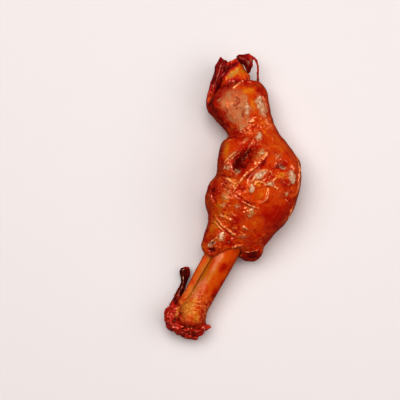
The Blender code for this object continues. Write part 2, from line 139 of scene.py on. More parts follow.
SHIN_STROKES = (
    Stroke(((11.0, 6.6), (14.5, 10.5), (18.1, 13.8), (22.1, 16.4), (25.7, 17.4)), 2.6, 1.0),
    Stroke(((25.3, 17.5), (26.7, 14.8), (28.3, 11.7)), 1.4, 0.8),
    Stroke(((12.3, 6.7), (12.9, 3.7), (14.2, 1.1)), 2.0, 0.9),
    Stroke(((14.0, 7.4), (17.7, 8.3), (20.6, 8.0), (23.9, 6.2), (26.7, 7.9), (29.0, 9.9), (32.0, 12.3)),
           1.6, 1.1),
    Stroke(((16.0, 10.1), (19.4, 13.1), (22.8, 15.0)), 1.1, -0.7),
    Stroke(((18.2, 8.9), (21.9, 10.2), (24.6, 11.9), (26.6, 14.6)), 1.2, -0.8),
    Stroke(((28.4, 7.1), (30.8, 9.5), (33.6, 11.7)), 1.2, -0.7),
    Stroke(((42.0, 30.0), (46.0, 21.4), (46.4, 13.2), (45.2, 5.2), (42.6, -5.2)), 1.2, 1.0),
    Stroke(((43.0, -5.2), (39.0, -15.0), (33.9, -22.8), (27.5, -28.6)), 1.2, 1.3),
    Stroke(((24.8, 4.0), (24.9, 0.6), (24.2, -2.5), (22.1, -5.0), (17.6, -7.4)), 1.5, 0.9),
    Stroke(((19.2, 4.8), (22.6, 5.5), (25.3, 5.7), (29.9, 4.1), (32.9, 1.1), (36.9, -1.0)), 1.5, 0.9),
    Stroke(((32.6, 2.2), (35.7, -1.5), (38.7, -5.0), (42.3, -7.4)), 1.4, -0.7, 0.3),
    Stroke(((20.0, -20.6), (23.6, -23.3), (26.7, -24.2), (31.9, -20.6)), 2.4, -0.6, 0.2),
    Stroke(((1.0, 0.4), (4.9, -2.6), (8.3, -4.6), (14.5, -6.6), (21.4, -9.8)), 1.6, -1.6, 0.2),
    Stroke(((7.2, -5.2), (9.6, -6.4), (12.4, -7.6), (16.0, -8.9), (20.8, -10.4)), 1.3, 1.2),
)
SLIPPED_STROKES = (
    Stroke(((-11.0, 12.8), (-7.8, 12.6), (-3.7, 12.1), (0.5, 11.6), (4.2, 10.0)), 1.7, -1.0, 0.4),
    Stroke(((-5.2, 11.2), (-0.9, 8.6), (3.4, 5.2)), 1.5, 0.9),
    Stroke(((-4.7, 7.8), (-0.9, 5.4), (3.0, 2.7)), 1.5, 0.9),
    Stroke(((-7.2, 8.9), (-2.6, 6.2), (1.8, 3.6)), 1.3, -0.9),
    Stroke(((-7.9, 6.0), (-3.4, 3.3), (1.2, 0.8)), 1.3, -0.9),
    Stroke(((5.0, 7.1), (2.3, 3.7), (-1.3, -0.1)), 1.3, 0.9),
    Stroke(((-12.8, -16.1), (-9.7, -18.6), (-7.1, -21.1), (-1.6, -25.7), (3.4, -30.8)), 1.6, 1.2),
    Stroke(((-12.1, -15.0), (-6.7, -19.2), (-1.0, -23.9), (4.2, -29.0)), 1.3, -0.9),
    Stroke(((-10.4, -14.0), (-4.6, -16.6), (1.1, -18.9)), 1.5, 0.9),
    Stroke(((-10.0, -12.6), (-4.3, -15.2), (1.8, -17.5)), 1.2, -0.8),
    Stroke(((-2.4, -13.6), (0.5, -14.5), (3.6, -16.1)), 1.3, 0.6),
    Stroke(((-14.0, -18.2), (-10.1, -21.5), (-6.4, -25.3), (-3.3, -28.8)), 1.5, 0.9),
    Stroke(((-13.3, -17.4), (-9.2, -20.7), (-5.3, -24.3), (-1.6, -28.2)), 1.2, -0.8),
    Stroke(((5.3, -23.9), (8.2, -22.8), (11.2, -24.9)), 1.4, 1.0),
    Stroke(((-2.3, -36.6), (2.8, -34.8), (8.7, -33.3)), 1.8, -1.0),
    Stroke(((-1.7, -37.6), (3.8, -35.9), (9.1, -34.5)), 1.4, 0.8),
    Stroke(((6.0, -39.2), (9.5, -39.9), (12.2, -40.2), (16.4, -39.1), (19.9, -37.4)), 1.4, 1.0),
    Stroke(((6.3, -40.5), (12.2, -41.6), (17.0, -40.5), (20.7, -38.7)), 2.0, -1.2),
    Stroke(((-5.3, -25.9), (-8.1, -29.8), (-10.2, -33.3)), 1.7, 0.9),
    Stroke(((-10.1, -29.0), (-13.3, -32.6), (-16.6, -35.6)), 1.7, 0.9),
    Stroke(((-15.9, 3.2), (-13.7, -1.5), (-10.7, -6.3), (-9.0, -11.6)), 2.0, -0.8, 0.3),
    Stroke(((-17.0, -21.6), (-18.0, -27.0), (-19.5, -32.4)), 1.5, -0.7),
    Stroke(((-14.1, -23.0), (-15.0, -29.1), (-18.4, -34.9)), 1.5, -0.7),
)
SKIN_STROKES = (
    *COLLAR_STROKES, *EDGE_STROKES, *NECK_STROKES, *DEWCLAW_STROKES, *SHIN_STROKES, *SLIPPED_STROKES,
)
# Pits, if their amount is negative, and swellings.
SKIN_SPOTS = (
    Spot(7.8, 24.4, 9.5, 4.2, 60, -3.0),
    Spot(3.6, 17.4, 3.0, 2.4, 45, -1.8),
    Spot(19.0, 26.8, 6.0, 3.4, 60, 1.6),
    Spot(34.0, 20.0, 4.4, 2.6, 20, -1.6),
    Spot(31.4, 19.2, 1.2, 1.0, 0, -0.9),
    Spot(34.6, 20.9, 1.0, 0.9, 0, -0.8),
    Spot(29.9, 26.1, 2.4, 2.2, 0, 0.9),
    Spot(32.2, 27.4, 2.0, 1.5, 30, 0.7),
    Spot(41.1, 11.6, 5.0, 2.4, -75, 0.7),
    Spot(18.8, 39.7, 2.8, 2.6, 0, 1.2),
    Spot(9.5, 37.1, 3.2, 2.4, 0, 0.6),
    Spot(-6.4, -5.0, 6.0, 3.0, 70, 0.9),
    Spot(12.6, -12.6, 5.2, 3.8, 60, 0.7),
    Spot(6.9, -29.5, 2.8, 2.2, 0, 0.8),
    Spot(-15.0, -39.1, 3.0, 2.4, 20, -2.4),
    Spot(20.9, 63.7, 1.0, 0.9, 0, -0.9),
    Spot(2.4, 62.4, 2.2, 1.3, -30, -0.5),
    Spot(19.6, 54.9, 1.5, 1.1, 50, -1.1),
    Spot(1.9, 64.2, 1.0, 1.0, 0, -0.5),
    Spot(1.7, 59.9, 1.1, 1.0, 0, -0.6),
    Spot(5.8, 58.3, 1.0, 0.9, 0, -0.5),
    Spot(16.4, 9.5, 3.6, 1.6, 40, -0.5),
    Spot(17.5, 5.0, 4.0, 2.4, 0, 0.5),
    Spot(5.2, 0.4, 6.0, 3.6, -30, 1.1),
)
SKIN_FIELDS = (
    Field(9.6, 46.8, 13.0, 7.0, 20, 25, 2.2, 0.45),
    Field(19.5, 26.8, 7.5, 4.0, 60, -25, 1.6, 0.5),
    Field(7.8, 24.4, 10.0, 5.0, 60, 60, 2.4, 1.2),
    Field(33.5, 20.0, 6.0, 4.0, 20, 10, 1.6, 0.7),
    Field(22.0, 10.0, 10.0, 5.0, 30, 40, 1.9, 0.5),
    Field(0.0, 25.0, 9.0, 5.0, 50, 47, 1.6, 0.35),
    Field(-4.3, -22.2, 15.0, 9.0, -45, -42, 2.4, 0.5),
    Field(-3.5, 4.0, 9.5, 5.0, -30, -38, 2.0, 0.5),
    Field(-11.2, -32.0, 9.0, 6.0, 40, 35, 2.0, 0.7),
    Field(35.7, 4.6, 8.0, 6.0, 80, 50, 2.2, 0.35),
    Field(6.0, -9.0, 8.0, 6.0, -60, -30, 3.0, 0.3),
    Field(-4.0, 30.0, 7.0, 3.6, 75, 60, 1.6, 0.4),
    Field(-13.0, 66.0, 14.0, 5.0, 72, 74, 1.9, 0.45),
    Field(13.0, -43.0, 11.0, 5.0, 10, 0, 2.6, 0.25),
)
# The hem hangs lower on the bone than in the solid.
SKIN_PULLS = (Pull(8.5, -45.5, 9.0, (0.6, -2.4)), Pull(15.5, -45.5, 6.0, (0.0, -0.9)))
# Where the skin is drawn smooth.
SMOOTH_PLACES = (
    Spot(4.0, 62.0, 17.0, 14.0, 110, 1.0),
    Spot(29.0, -12.0, 19.0, 16.0, 60, 1.0),
    Spot(31.0, 35.0, 12.0, 8.0, -45, 0.8),
    Spot(18.0, -2.0, 8.0, 5.5, 10, 0.9),
    Spot(6.0, -1.5, 6.0, 3.0, -25, 0.7),
    Spot(14.0, -43.0, 9.0, 4.5, 8, 0.8),
)
# How the skin's colour goes: from dark at -3 over red at -1 and orange at 1 to gold at 2 and above.
# Some dark spots here are painted shade: on the lower left of the toe joint, in the dewclaw pits, on the
# lower right of the shin, in the hollow among the slipped folds, and on the lobe under the hem.
SKIN_TONES_AND_SHADE = (
    # round the toe joint
    Spot(-11.2, 57.1, 11.7, 4.1, -50, -2.2),
    Spot(-5.7, 48.2, 6.2, 2.1, -50, -1.6),
    Spot(-14.7, 69.6, 10.3, 3.4, 80, -1.8),
    Spot(-6.4, 72.0, 4.8, 2.8, 5, -0.3),
    Spot(-3.0, 75.4, 8.0, 3.2, 22, -2.6),
    Spot(-13.6, 64.5, 11.0, 3.6, 84, -1.4),
    Spot(12.2, 76.5, 5.5, 2.8, -10, -0.9),
    Spot(6.0, 77.8, 9.0, 2.4, 8, -1.6),
    Spot(10.8, 70.9, 6.2, 3.1, 0, 1.8),
    Spot(9.5, 67.4, 8.0, 3.6, 0, 1.0),
    Spot(14.3, 62.0, 8.3, 2.2, 90, 1.1),
    Spot(19.5, 69.6, 5.5, 2.8, -60, -0.7),
    Spot(22.6, 59.2, 6.9, 2.1, -75, -0.6),
    Spot(-4.3, 62.0, 7.6, 2.1, -58, 0.7),
    Spot(-8.6, 66.5, 6.0, 3.5, 80, -1.2),
    Spot(20.5, 50.2, 6.9, 5.5, 0, 0.6),
    # the neck
    Spot(1.5, 40.6, 4.5, 3.4, 0, -1.5),
    Spot(7.4, 46.1, 4.8, 3.4, 0, 0.3),
    Spot(24.6, 44.0, 10.3, 5.5, -55, 0.8),
    Spot(30.8, 42.0, 11.0, 1.7, -55, -0.7),
    # round the dewclaws
    Spot(-4.0, 29.5, 8.3, 3.1, 85, 1.9),
    Spot(-8.3, 28.2, 9.7, 1.4, 90, -0.8),
    Spot(7.6, 24.6, 13.5, 7.2, 62, -2.0),
    Spot(6.4, 24.0, 7.0, 2.6, 60, -1.4),
    Spot(3.6, 19.6, 6.2, 4.4, 62, -2.0),
    Spot(11.6, 23.0, 7.0, 2.6, 62, 0.3),
    Spot(19.5, 26.8, 6.2, 3.4, 60, 1.9),
    Spot(21.2, 21.9, 6.2, 1.7, 58, -2.0),
    Spot(13.6, 13.0, 5.5, 1.5, 45, -1.8),
    Spot(30.8, 32.3, 10.3, 6.2, -50, 0.8),
    Spot(41.9, 19.9, 6.2, 4.1, 90, 0.3),
    Spot(33.3, 19.2, 4.8, 3.1, 20, -2.6),
    Spot(33.8, 12.4, 4.8, 3.6, 0, 2.2),
    Spot(37.1, 6.1, 4.1, 3.4, 40, -1.3),
    Spot(7.4, 4.7, 3.4, 4.1, 0, -0.7),
    # down the shin
    Spot(17.4, 6.8, 5.0, 2.2, 10, 2.0),
    Spot(17.6, -0.6, 8.2, 6.0, 0, 1.2),
    Spot(12.9, -12.6, 5.2, 4.5, 60, 1.6),
    Spot(5.3, -3.6, 4.1, 2.8, -30, -0.9),
    Spot(-3.7, -0.1, 6.2, 4.1, 65, 1.7),
    Spot(-8.2, -7.4, 7.0, 4.0, 70, 1.5),
    Spot(-5.0, -17.0, 11.0, 6.0, 60, 1.1),
    Spot(22.5, 2.6, 8.0, 6.5, 60, 0.8),
    Spot(0.6, 8.4, 7.0, 3.6, -35, 1.3),
    Spot(-13.3, 1.2, 7.6, 3.4, 80, -2.2),
    Spot(30.2, -4.3, 8.3, 5.5, 0, 0.5),
    Spot(29.0, -14.5, 12.0, 7.0, 20, -1.5),
    Spot(39.1, -9.1, 10.3, 2.8, 62, -0.5),
    Spot(27.4, -23.6, 8.3, 1.8, 10, -1.4),
    Spot(16.4, -20.1, 6.2, 4.1, 0, 1.1),
    Spot(21.2, -31.2, 9.0, 4.8, 30, -0.7),
    # where the skin has slipped down in folds
    Spot(2.2, -19.1, 4.5, 3.8, 0, -1.7),
    Spot(2.6, -26.7, 3.4, 2.8, 0, -1.0),
    Spot(-13.3, -21.5, 10.3, 4.1, 62, 1.0),
    Spot(-18.5, -26.4, 10.3, 2.1, 68, -1.4),
    Spot(-3.0, -33.9, 4.8, 3.4, 0, -1.8),
    Spot(-14.4, -39.1, 3.1, 2.8, 0, -3.4),
    Spot(-19.2, -36.7, 2.8, 2.8, 0, 0.9),
    Spot(-11.2, -30.5, 4.1, 3.4, 40, 0.7),
    Spot(12.9, -42.9, 9.7, 3.8, 8, -2.5),
)
# Where a dull brown film lies on the skin; it is also a painted sheen.
SKIN_FILM_AND_SHEEN = (
    Spot(2.6, 60.0, 15.0, 11.0, -64, 1.2),
    Spot(20.0, 60.4, 9.0, 4.0, -75, 1.0),
    Spot(9.8, 58.6, 9.0, 2.6, 98, 1.0),
    Spot(8.0, 46.0, 6.0, 3.4, 30, 0.5),
    Spot(12.6, -12.6, 8.0, 5.4, 60, 0.2),
    Spot(-4.2, -0.6, 6.0, 4.2, 70, 0.5),
)
# Where the glaze has dried dull and pale, in patches that are also painted highlights, or if negative where
# it is still wet.
DRY_AND_HIGHLIGHT_PATCHES = (
    Spot(-1.6, 56.0, 8.0, 1.3, -62, 0.7),
    Spot(10.4, 58.8, 8.8, 1.8, 98, 1.8),
    Spot(19.5, 60.6, 7.4, 3.2, -75, 2.0),
    Spot(22.6, 54.4, 3.1, 1.1, 90, 0.9),
    Spot(6.7, 46.1, 3.8, 2.1, 40, 1.0),
    Spot(18.8, 39.7, 3.6, 3.0, 20, 2.7),
    Spot(9.5, 37.1, 3.1, 2.1, 0, 0.9),
    Spot(-3.9, 18.3, 3.3, 2.4, 0, 2.3),
    Spot(0.0, 26.6, 7.0, 2.2, 46, 0.9),
    Spot(3.2, 15.3, 2.5, 2.2, 0, 1.9),
    Spot(19.8, 27.5, 5.0, 2.6, 60, 1.3),
    Spot(19.2, 12.8, 7.4, 2.8, 36, 2.0),
    Spot(13.4, 3.6, 2.4, 3.6, 0, 2.2),
    Spot(19.9, 7.6, 3.8, 1.6, 5, -2.4),
    Spot(26.4, 6.6, 3.4, 2.6, 0, 1.9),
    Spot(41.1, 11.6, 5.2, 2.8, -75, 2.2),
    Spot(34.8, 18.4, 2.4, 1.8, 0, 2.6),
    Spot(29.9, 26.1, 2.2, 2.2, 0, 0.9),
    Spot(-4.6, -1.0, 3.8, 2.8, 70, 1.2),
    Spot(-6.5, -7.4, 2.4, 2.6, 0, 1.5),
    Spot(4.1, -8.8, 2.6, 1.5, -10, 1.4),
    Spot(12.6, -12.6, 6.6, 4.4, 60, 1.25),
    Spot(8.1, -23.6, 2.9, 1.5, 0, 1.0),
    Spot(7.1, -29.5, 2.8, 2.1, 0, 1.4),
    Spot(-7.8, -29.5, 4.4, 3.0, 50, 1.7),
    Spot(-14.4, -34.4, 3.4, 2.2, 30, 1.6),
    Spot(37.1, 0.1, 2.1, 1.4, 0, 1.0),
    Spot(-2.6, -24.6, 1.9, 1.4, -45, 0.9),
    Spot(2.6, -29.5, 1.5, 1.4, -45, 0.9),
    Spot(-0.9, 6.1, 4.8, 2.1, -35, 0.9),
    Spot(-9.0, 65.4, 1.8, 1.1, 30, 1.0),
)

BONE_STROKES = (
    Stroke(((-14.7, -45.0), (-20.5, -54.5), (-26.0, -63.5), (-31.0, -71.5)), 0.9, -0.4),
    Stroke(((-29.9, -75.3), (-24.0, -73.6), (-18.8, -73.3)), 1.2, -0.35, 0.15),
    Stroke(((-27.0, -78.5), (-21.5, -76.8), (-16.8, -77.2)), 1.1, -0.3, 0.1),
    Stroke(((-30.5, -81.0), (-25.0, -79.5), (-21.0, -80.5)), 1.0, -0.3, 0.1),
    Stroke(((-18.5, -62.5), (-15.5, -65.5), (-13.5, -70.0)), 1.0, -0.25),
)
# Where the sauce has stained the bone, or if negative where it is paler.
BONE_STAINS = (
    Spot(-5.6, -50.5, 4.2, 2.6, 60, 2.0),
    Spot(-5.5, -62.0, 22.0, 2.8, 62, 1.3),
    Spot(-12.5, -72.5, 10.0, 3.2, 66, 1.6),
    Spot(-18.5, -84.0, 10.0, 4.4, 64, 1.7),
    Spot(-23.0, -74.5, 7.0, 4.0, 55, 1.2),
    Spot(-22.0, -69.0, 4.0, 2.0, 60, 0.9),
    Spot(-13.3, -70.5, 1.6, 1.2, 60, 2.0),
    Spot(-2.6, -41.0, 6.0, 3.0, 20, 0.3),
    Spot(-8.8, -46.5, 7.5, 2.5, 62, -0.8),
    Spot(-16.4, -59.0, 10.0, 2.5, 62, -0.6),
    Spot(-27.5, -76.0, 7.0, 3.4, 55, -1.2),
    Spot(-19.5, -77.0, 8.0, 2.8, 64, 0.9),
    Spot(-19.6, -53.5, 14.0, 3.0, 62, -1.5),
    Spot(-27.5, -67.0, 8.0, 2.4, 62, -1.6),
    Spot(-32.4, -81.0, 8.0, 5.0, 50, -2.2),
    Spot(-25.0, -87.0, 5.0, 3.0, 60, -1.2),
)
# Where a film of fat is left on the bone; it is also a painted sheen down the left of the bone's middle.
BONE_FILM_AND_SHEEN = (
    Spot(-9.5, -44.5, 6.0, 3.6, 60, 1.3),
    Spot(-13.5, -52.0, 7.0, 2.4, 62, 0.9),
    Spot(-20.5, -62.5, 8.0, 3.6, 62, 0.9),
    Spot(-25.5, -70.0, 5.0, 3.0, 30, 0.9),
    Spot(-24.5, -64.0, 10.0, 1.6, 62, 0.6),
)
# The upper end of the bone's middle line, and the way that the line runs.
BONE_TOP = (13.5, -4.0)
BONE_WAY = (-0.458, -0.889)
# How far down the line the pits of the bone's lower end begin, and how far down they are at their deepest.
PITTED_END = (62, 84)
# How far down the line gristle starts to cover the bone. Beside the line it starts sooner, by the curve times
# the square of the way off the line.
GRISTLE_START = 95.0
GRISTLE_CURVE = 0.07
# The left strip of sinew ends higher than in the solid.
GRISTLE_PULLS = (Pull(-32.6, -55.0, 13.0, (-0.6, 2.2)),)
# Between these places in Y the lumps of the gristle turn into sinew.
SINEW_START = (-76, -70)
# Where the gristle is so thin that the bone shows through.
THIN_GRISTLE = (Spot(-36.2, -81.0, 8.5, 3.8, 68, 1.4),)

# The toe ends: their folds, and their colours and dried patches, which go as the skin's do, with painted
# shade, highlights and glints among them.
LONG_TOE_STROKES = (
    Stroke(((-2.4, 90.4), (-4.3, 86.8), (-6.4, 82.7), (-9.4, 77.5)), 1.3, 0.6),
    Stroke(((-5.5, 91.3), (-7.8, 84.5), (-10.4, 77.0)), 1.1, -0.5),
    Stroke(((-7.1, 92.4), (-9.2, 84.5), (-11.5, 75.5)), 1.2, 0.45),
    Stroke(((-8.9, 92.6), (-11.2, 84.5), (-13.4, 74.5)), 1.1, -0.5),
    Stroke(((-9.4, 90.3), (-11.6, 82.4), (-14.0, 72.5)), 1.1, 0.4),
    *EDGE_STROKES,
)
# The tips of the two toe ends are drawn towards each other.
LONG_TOE_PULLS = (Pull(-4.6, 89.6, 4.5, (1.7, 0.3)),)
SHORT_TOE_PULLS = (Pull(5.6, 93.2, 4.5, (-2.0, 1.2)),)
LONG_TOE_TONES = (Spot(-15.0, 66.0, 11.0, 3.6, 84, 2.3),)
PAD_STROKES = (
    Stroke(((-2.6, 89.2), (0.6, 91.8), (4.4, 93.4), (7.4, 94.6)), 1.3, 0.5),
    Stroke(((-1.4, 87.4), (2.4, 90.4), (6.6, 92.4)), 1.2, -0.5),
    Stroke(((-7.0, 80.6), (-4.4, 84.4), (-2.6, 88.6)), 1.3, -0.6),
    Stroke(((-5.4, 78.2), (-2.8, 82.6), (-1.4, 86.6)), 1.2, 0.5),
    Stroke(((1.0, 79.5), (3.6, 80.8), (6.2, 82.8)), 1.1, -0.4),
    Stroke(((3.6, 79.8), (6.8, 81.6), (9.6, 84.2)), 1.1, -0.4),
    Stroke(((1.2, 80.9), (0.8, 79.8), (0.2, 78.6)), 1.0, 0.5),
    Stroke(((3.6, 79.8), (3.3, 78.8), (3.0, 77.6)), 1.0, 0.5),
    Stroke(((4.5, 81.2), (4.4, 80.1), (4.2, 79.0)), 1.0, 0.5),
    Stroke(((-1.0, 80.6), (-1.7, 79.4), (-2.4, 78.2)), 1.0, 0.5),
)
# The gold stripe across the middle of the pad is a painted highlight, and its dark left flank is painted
# shade.
PAD_TONES_SHADE_AND_HIGHLIGHT = (
    Spot(1.4, 84.2, 6.8, 2.2, 48, 2.4),
    Spot(-4.0, 85.0, 8.0, 2.8, 60, -2.6),
    Spot(2.4, 90.2, 6.5, 2.8, 35, -2.8),
    Spot(7.8, 84.0, 4.4, 3.2, 60, 0.5),
    Spot(1.5, 77.2, 12.0, 3.4, 15, -2.6),
    Spot(7.4, 79.8, 4.0, 2.0, 10, 1.0),
)
# The pad's pale patches are painted highlights along its gold stripe.
PAD_DRY_AND_HIGHLIGHT = (Spot(-0.6, 81.6, 3.6, 1.6, 60, 0.8), Spot(2.6, 85.4, 3.0, 1.4, 50, 0.6))
SHORT_TOE_TONES = (Spot(12.6, 95.6, 3.0, 2.2, 20, 2.2), Spot(15.8, 90.0, 8.0, 2.4, -80, 1.1))
# The short toe's pale patches are painted glints.
SHORT_TOE_DRY_AND_GLINT = (Spot(10.8, 90.4, 2.0, 1.1, 60, 1.4), Spot(13.0, 92.4, 1.0, 0.9, 0, 1.2))


class SkinSettings(bpy.types.PropertyGroup):
    facet: FloatProperty(
        name="Facet", description="Size of the mesh's facets", default=0.00045, min=0.0003, unit="LENGTH")
    fold_height: FloatProperty(
        name="Fold height", description="Height of the folds and pits, as a share of what their tables say",
        default=0.75, min=0.0, subtype="FACTOR")
    wrinkle_height: FloatProperty(
        name="Wrinkle height", description="Height of the fine wrinkles on the sides",
        default=0.00035, min=0.0, unit="LENGTH")
    # Dark also stands as painted shade in the hollows, creases and pits.
    dark: FloatVectorProperty(
        name="Dark", description="Colour of the sauce in the folds and of the dark flecks",
        default=(0.15, 0.0016, 0.002), subtype="COLOR", min=0.0, max=1.0)
    # Red and dark also stand as painted shade where the tone spots darken the skin.
    red: FloatVectorProperty(
        name="Red", description="Colour where the glaze is thick", default=(0.41, 0.010, 0.0008),
        subtype="COLOR", min=0.0, max=1.0)
    orange: FloatVectorProperty(
        name="Orange", description="Colour where the glaze is thin", default=(0.56, 0.070, 0.003),
        subtype="COLOR", min=0.0, max=1.0)
    gold: FloatVectorProperty(
        name="Gold", description="Colour where the glaze is thinnest", default=(0.62, 0.19, 0.008),
        subtype="COLOR", min=0.0, max=1.0)
    # This is a painted highlight on the tops of the folds, where the glaze is also thinner, and on the light
    # flecks, which are painted glints.
    ridge_highlight: FloatVectorProperty(
        name="Ridge", description="Colour of the tops of the folds and of the light flecks",
        default=(0.88, 0.40, 0.18), subtype="COLOR", min=0.0, max=1.0)
    # The film's colour is also a painted sheen.
    film_and_sheen: FloatVectorProperty(
        name="Film", description="Colour of the dull film", default=(0.46, 0.23, 0.12),
        subtype="COLOR", min=0.0, max=1.0)
    # The dried patches are also painted highlights, brightest in their cream middles.
    pale: FloatVectorProperty(
        name="Dry", description="Colour of the patches where the glaze has dried", default=(0.62, 0.28, 0.11),
        subtype="COLOR", min=0.0, max=1.0)
    highlight_cream: FloatVectorProperty(
        name="Cream", description="Colour of the middles of the dried patches", default=(0.94, 0.66, 0.50),
        subtype="COLOR", min=0.0, max=1.0)
    patch_paleness: FloatProperty(
        name="Dryness", description="How pale the dried patches are", default=0.85, min=0.0, max=1.0,
        subtype="FACTOR")
    gloss: FloatProperty(
        name="Glaze", description="How much of the surface the glaze coats", default=0.8, min=0.0, max=1.0,
        subtype="FACTOR")


class BoneSettings(bpy.types.PropertyGroup):
    facet: FloatProperty(
        name="Facet", description="Size of the mesh's facets", default=0.00045, min=0.0003, unit="LENGTH")
    tan: FloatVectorProperty(
        name="Tan", description="Colour of the bare bone", default=(0.57, 0.086, 0.003),
        subtype="COLOR", min=0.0, max=1.0)
    pale: FloatVectorProperty(
        name="Pale", description="Colour of the palest places", default=(0.50, 0.150, 0.005),
        subtype="COLOR", min=0.0, max=1.0)
    # Rosy is also a painted sheen where the film lies.
    rosy: FloatVectorProperty(
        name="Rosy", description="Colour of the film of fat on it", default=(0.64, 0.22, 0.13),
        subtype="COLOR", min=0.0, max=1.0)
    # The pale cracks on the lower end are partly a painted highlight.
    crackle_highlight: FloatVectorProperty(
        name="Crackle", description="Colour of the cracks on its lower end", default=(0.76, 0.38, 0.12),
        subtype="COLOR", min=0.0, max=1.0)
    stain: FloatVectorProperty(
        name="Stain", description="Colour of the sauce's stain on it", default=(0.40, 0.012, 0.001),
        subtype="COLOR", min=0.0, max=1.0)
    crust: FloatVectorProperty(
        name="Crust", description="Colour of the gristle left on its end", default=(0.42, 0.026, 0.006),
        subtype="COLOR", min=0.0, max=1.0)
    # Dark in the grooves is painted shade, along with sauce there.
    dark: FloatVectorProperty(
        name="Dark", description="Colour of the sauce in its grooves and of the dark flecks",
        default=(0.13, 0.008, 0.002), subtype="COLOR", min=0.0, max=1.0)


class GristleSettings(bpy.types.PropertyGroup):
    facet: FloatProperty(
        name="Facet", description="Size of the mesh's facets", default=0.0004, min=0.0003, unit="LENGTH")
    lump_height: FloatProperty(
        name="Lump height", description="Height of the lumps", default=0.0012, min=0.0, unit="LENGTH")
    light: FloatVectorProperty(
        name="Light", description="Colour of the lumps", default=(0.46, 0.026, 0.011),
        subtype="COLOR", min=0.0, max=1.0)
    warm: FloatVectorProperty(
        name="Warm", description="Colour of the tops of the lumps", default=(0.50, 0.05, 0.009),
        subtype="COLOR", min=0.0, max=1.0)
    bare: FloatVectorProperty(
        name="Bare", description="Colour of the bone that shows through", default=(0.60, 0.17, 0.03),
        subtype="COLOR", min=0.0, max=1.0)
    # The pale flecks on the lumps are painted glints.
    glint: FloatVectorProperty(
        name="Torn", description="Colour of the torn edges", default=(0.92, 0.48, 0.38),
        subtype="COLOR", min=0.0, max=1.0)
    # Dark is also painted shade in the hollows.
    dark: FloatVectorProperty(
        name="Dark", description="Colour of the hollows and of the sinew", default=(0.07, 0.0015, 0.001),
        subtype="COLOR", min=0.0, max=1.0)


class ToeSettings(bpy.types.PropertyGroup):
    facet: FloatProperty(
        name="Facet", description="Size of the mesh's facets", default=0.00035, min=0.0002, unit="LENGTH")
    # Dark is also painted shade in the hollows.
    dark: FloatVectorProperty(
        name="Dark", description="Colour of the hollows and of the dark flecks", default=(0.11, 0.002, 0.005),
        subtype="COLOR", min=0.0, max=1.0)
    red: FloatVectorProperty(
        name="Red", description="Colour of the dark toe ends", default=(0.42, 0.010, 0.012),
        subtype="COLOR", min=0.0, max=1.0)
    orange: FloatVectorProperty(
        name="Orange", description="Colour of the pad", default=(0.60, 0.09, 0.003),
        subtype="COLOR", min=0.0, max=1.0)
    # Gold along the middle of the pad is a painted highlight.
    gold: FloatVectorProperty(
        name="Gold", description="Colour of the middle of the pad", default=(0.50, 0.22, 0.015),
        subtype="COLOR", min=0.0, max=1.0)
    # This is a painted highlight on the tops of the folds and on the light flecks, which are painted glints.
    ridge_highlight: FloatVectorProperty(
        name="Ridge", description="Colour of the tops of the folds and of the light flecks",
        default=(0.72, 0.24, 0.19), subtype="COLOR", min=0.0, max=1.0)
    # The dried patches are also painted highlights and glints, brightest in their middles.
    pale: FloatVectorProperty(
        name="Dry", description="Colour of the patches where the glaze has dried", default=(0.60, 0.34, 0.20),
        subtype="COLOR", min=0.0, max=1.0)
    highlight_cream: FloatVectorProperty(
        name="Cream", description="Colour of the middles of the dried patches", default=(0.74, 0.36, 0.32),
        subtype="COLOR", min=0.0, max=1.0)
    patch_paleness: FloatProperty(
        name="Dryness", description="How pale the dried patches are", default=0.7, min=0.0, max=1.0,
        subtype="FACTOR")
    gloss: FloatProperty(
        name="Glaze", description="How much of the surface the glaze coats", default=0.22, min=0.0, max=1.0,
        subtype="FACTOR")


class StageSettings(bpy.types.PropertyGroup):
    floor: FloatVectorProperty(
        name="Floor", description="Colour of the floor", default=(0.75, 0.712, 0.728),
        subtype="COLOR", min=0.0, max=1.0)
    elevation: FloatProperty(
        name="Elevation", description="How high above the horizon the camera looks from",
        default=EYE_ELEVATION, subtype="ANGLE")
    distance: FloatProperty(
        name="Distance", description="Distance of the camera from what it looks at",
        default=EYE_DISTANCE, min=0.1, unit="LENGTH")
    field: FloatProperty(
        name="Field", description="Width of the picture at that distance", default=0.276, min=0.01,
        unit="LENGTH")
    brightness: FloatProperty(
        name="Lamps", description="Brightness of all the lamps", default=1.0, min=0.0, subtype="FACTOR")
    horizon: FloatProperty(
        name="Horizon", description="Brightness of the background at the horizon", default=0.04, min=0.0)
    zenith: FloatProperty(
        name="Zenith", description="Brightness of the background overhead", default=0.05, min=0.0)


# ---------------------------------------------------------------- shapes

# How a fractal noise's octaves fall off, and how much finer each is than the one before.
OCTAVE_FALL = 1.0
OCTAVE_STEP = 2.0
# How far a seed of 1 moves a noise along each axis, in sizes of its features.
SEED_SHIFT = (17.3, 5.1, 9.7)
# The seeds of the wander of painted places, in X and in Y.
WANDER_SEEDS = (51, 52)

# Across a stroke, in shares of its width: how far from its middle its height falls off, where the top of its
# lip is, and how far from there the lip falls off. Along it: the share of its run that each end fades out
# over, and how much its height varies.
STROKE_FALL = 0.45
LIP_PLACE = -0.9
LIP_FALL = 0.4
STROKE_END = 0.25
STROKE_VARIES = 0.8
# How much longer fine wrinkles are than the space between them, and how much they wind.
WRINKLE_LENGTH = 2.4
WRINKLE_WINDS = 0.5

# How much of a crease's depth is cut into the skin, and the skin's colour outside its spots.
CREASE_DEPTH = 0.5
SKIN_TONE = 0.3
SKIN_LUMP_HEIGHT = 0.35 * MM
CRINKLE_HEIGHT = 0.32 * MM
SINEW_HEIGHT = 0.4 * MM
STREAK_HEIGHT = 0.4 * MM
# How much of the flecks and crinkles of a rough skin the toe ends have.
TOE_ROUGHNESS = 0.4
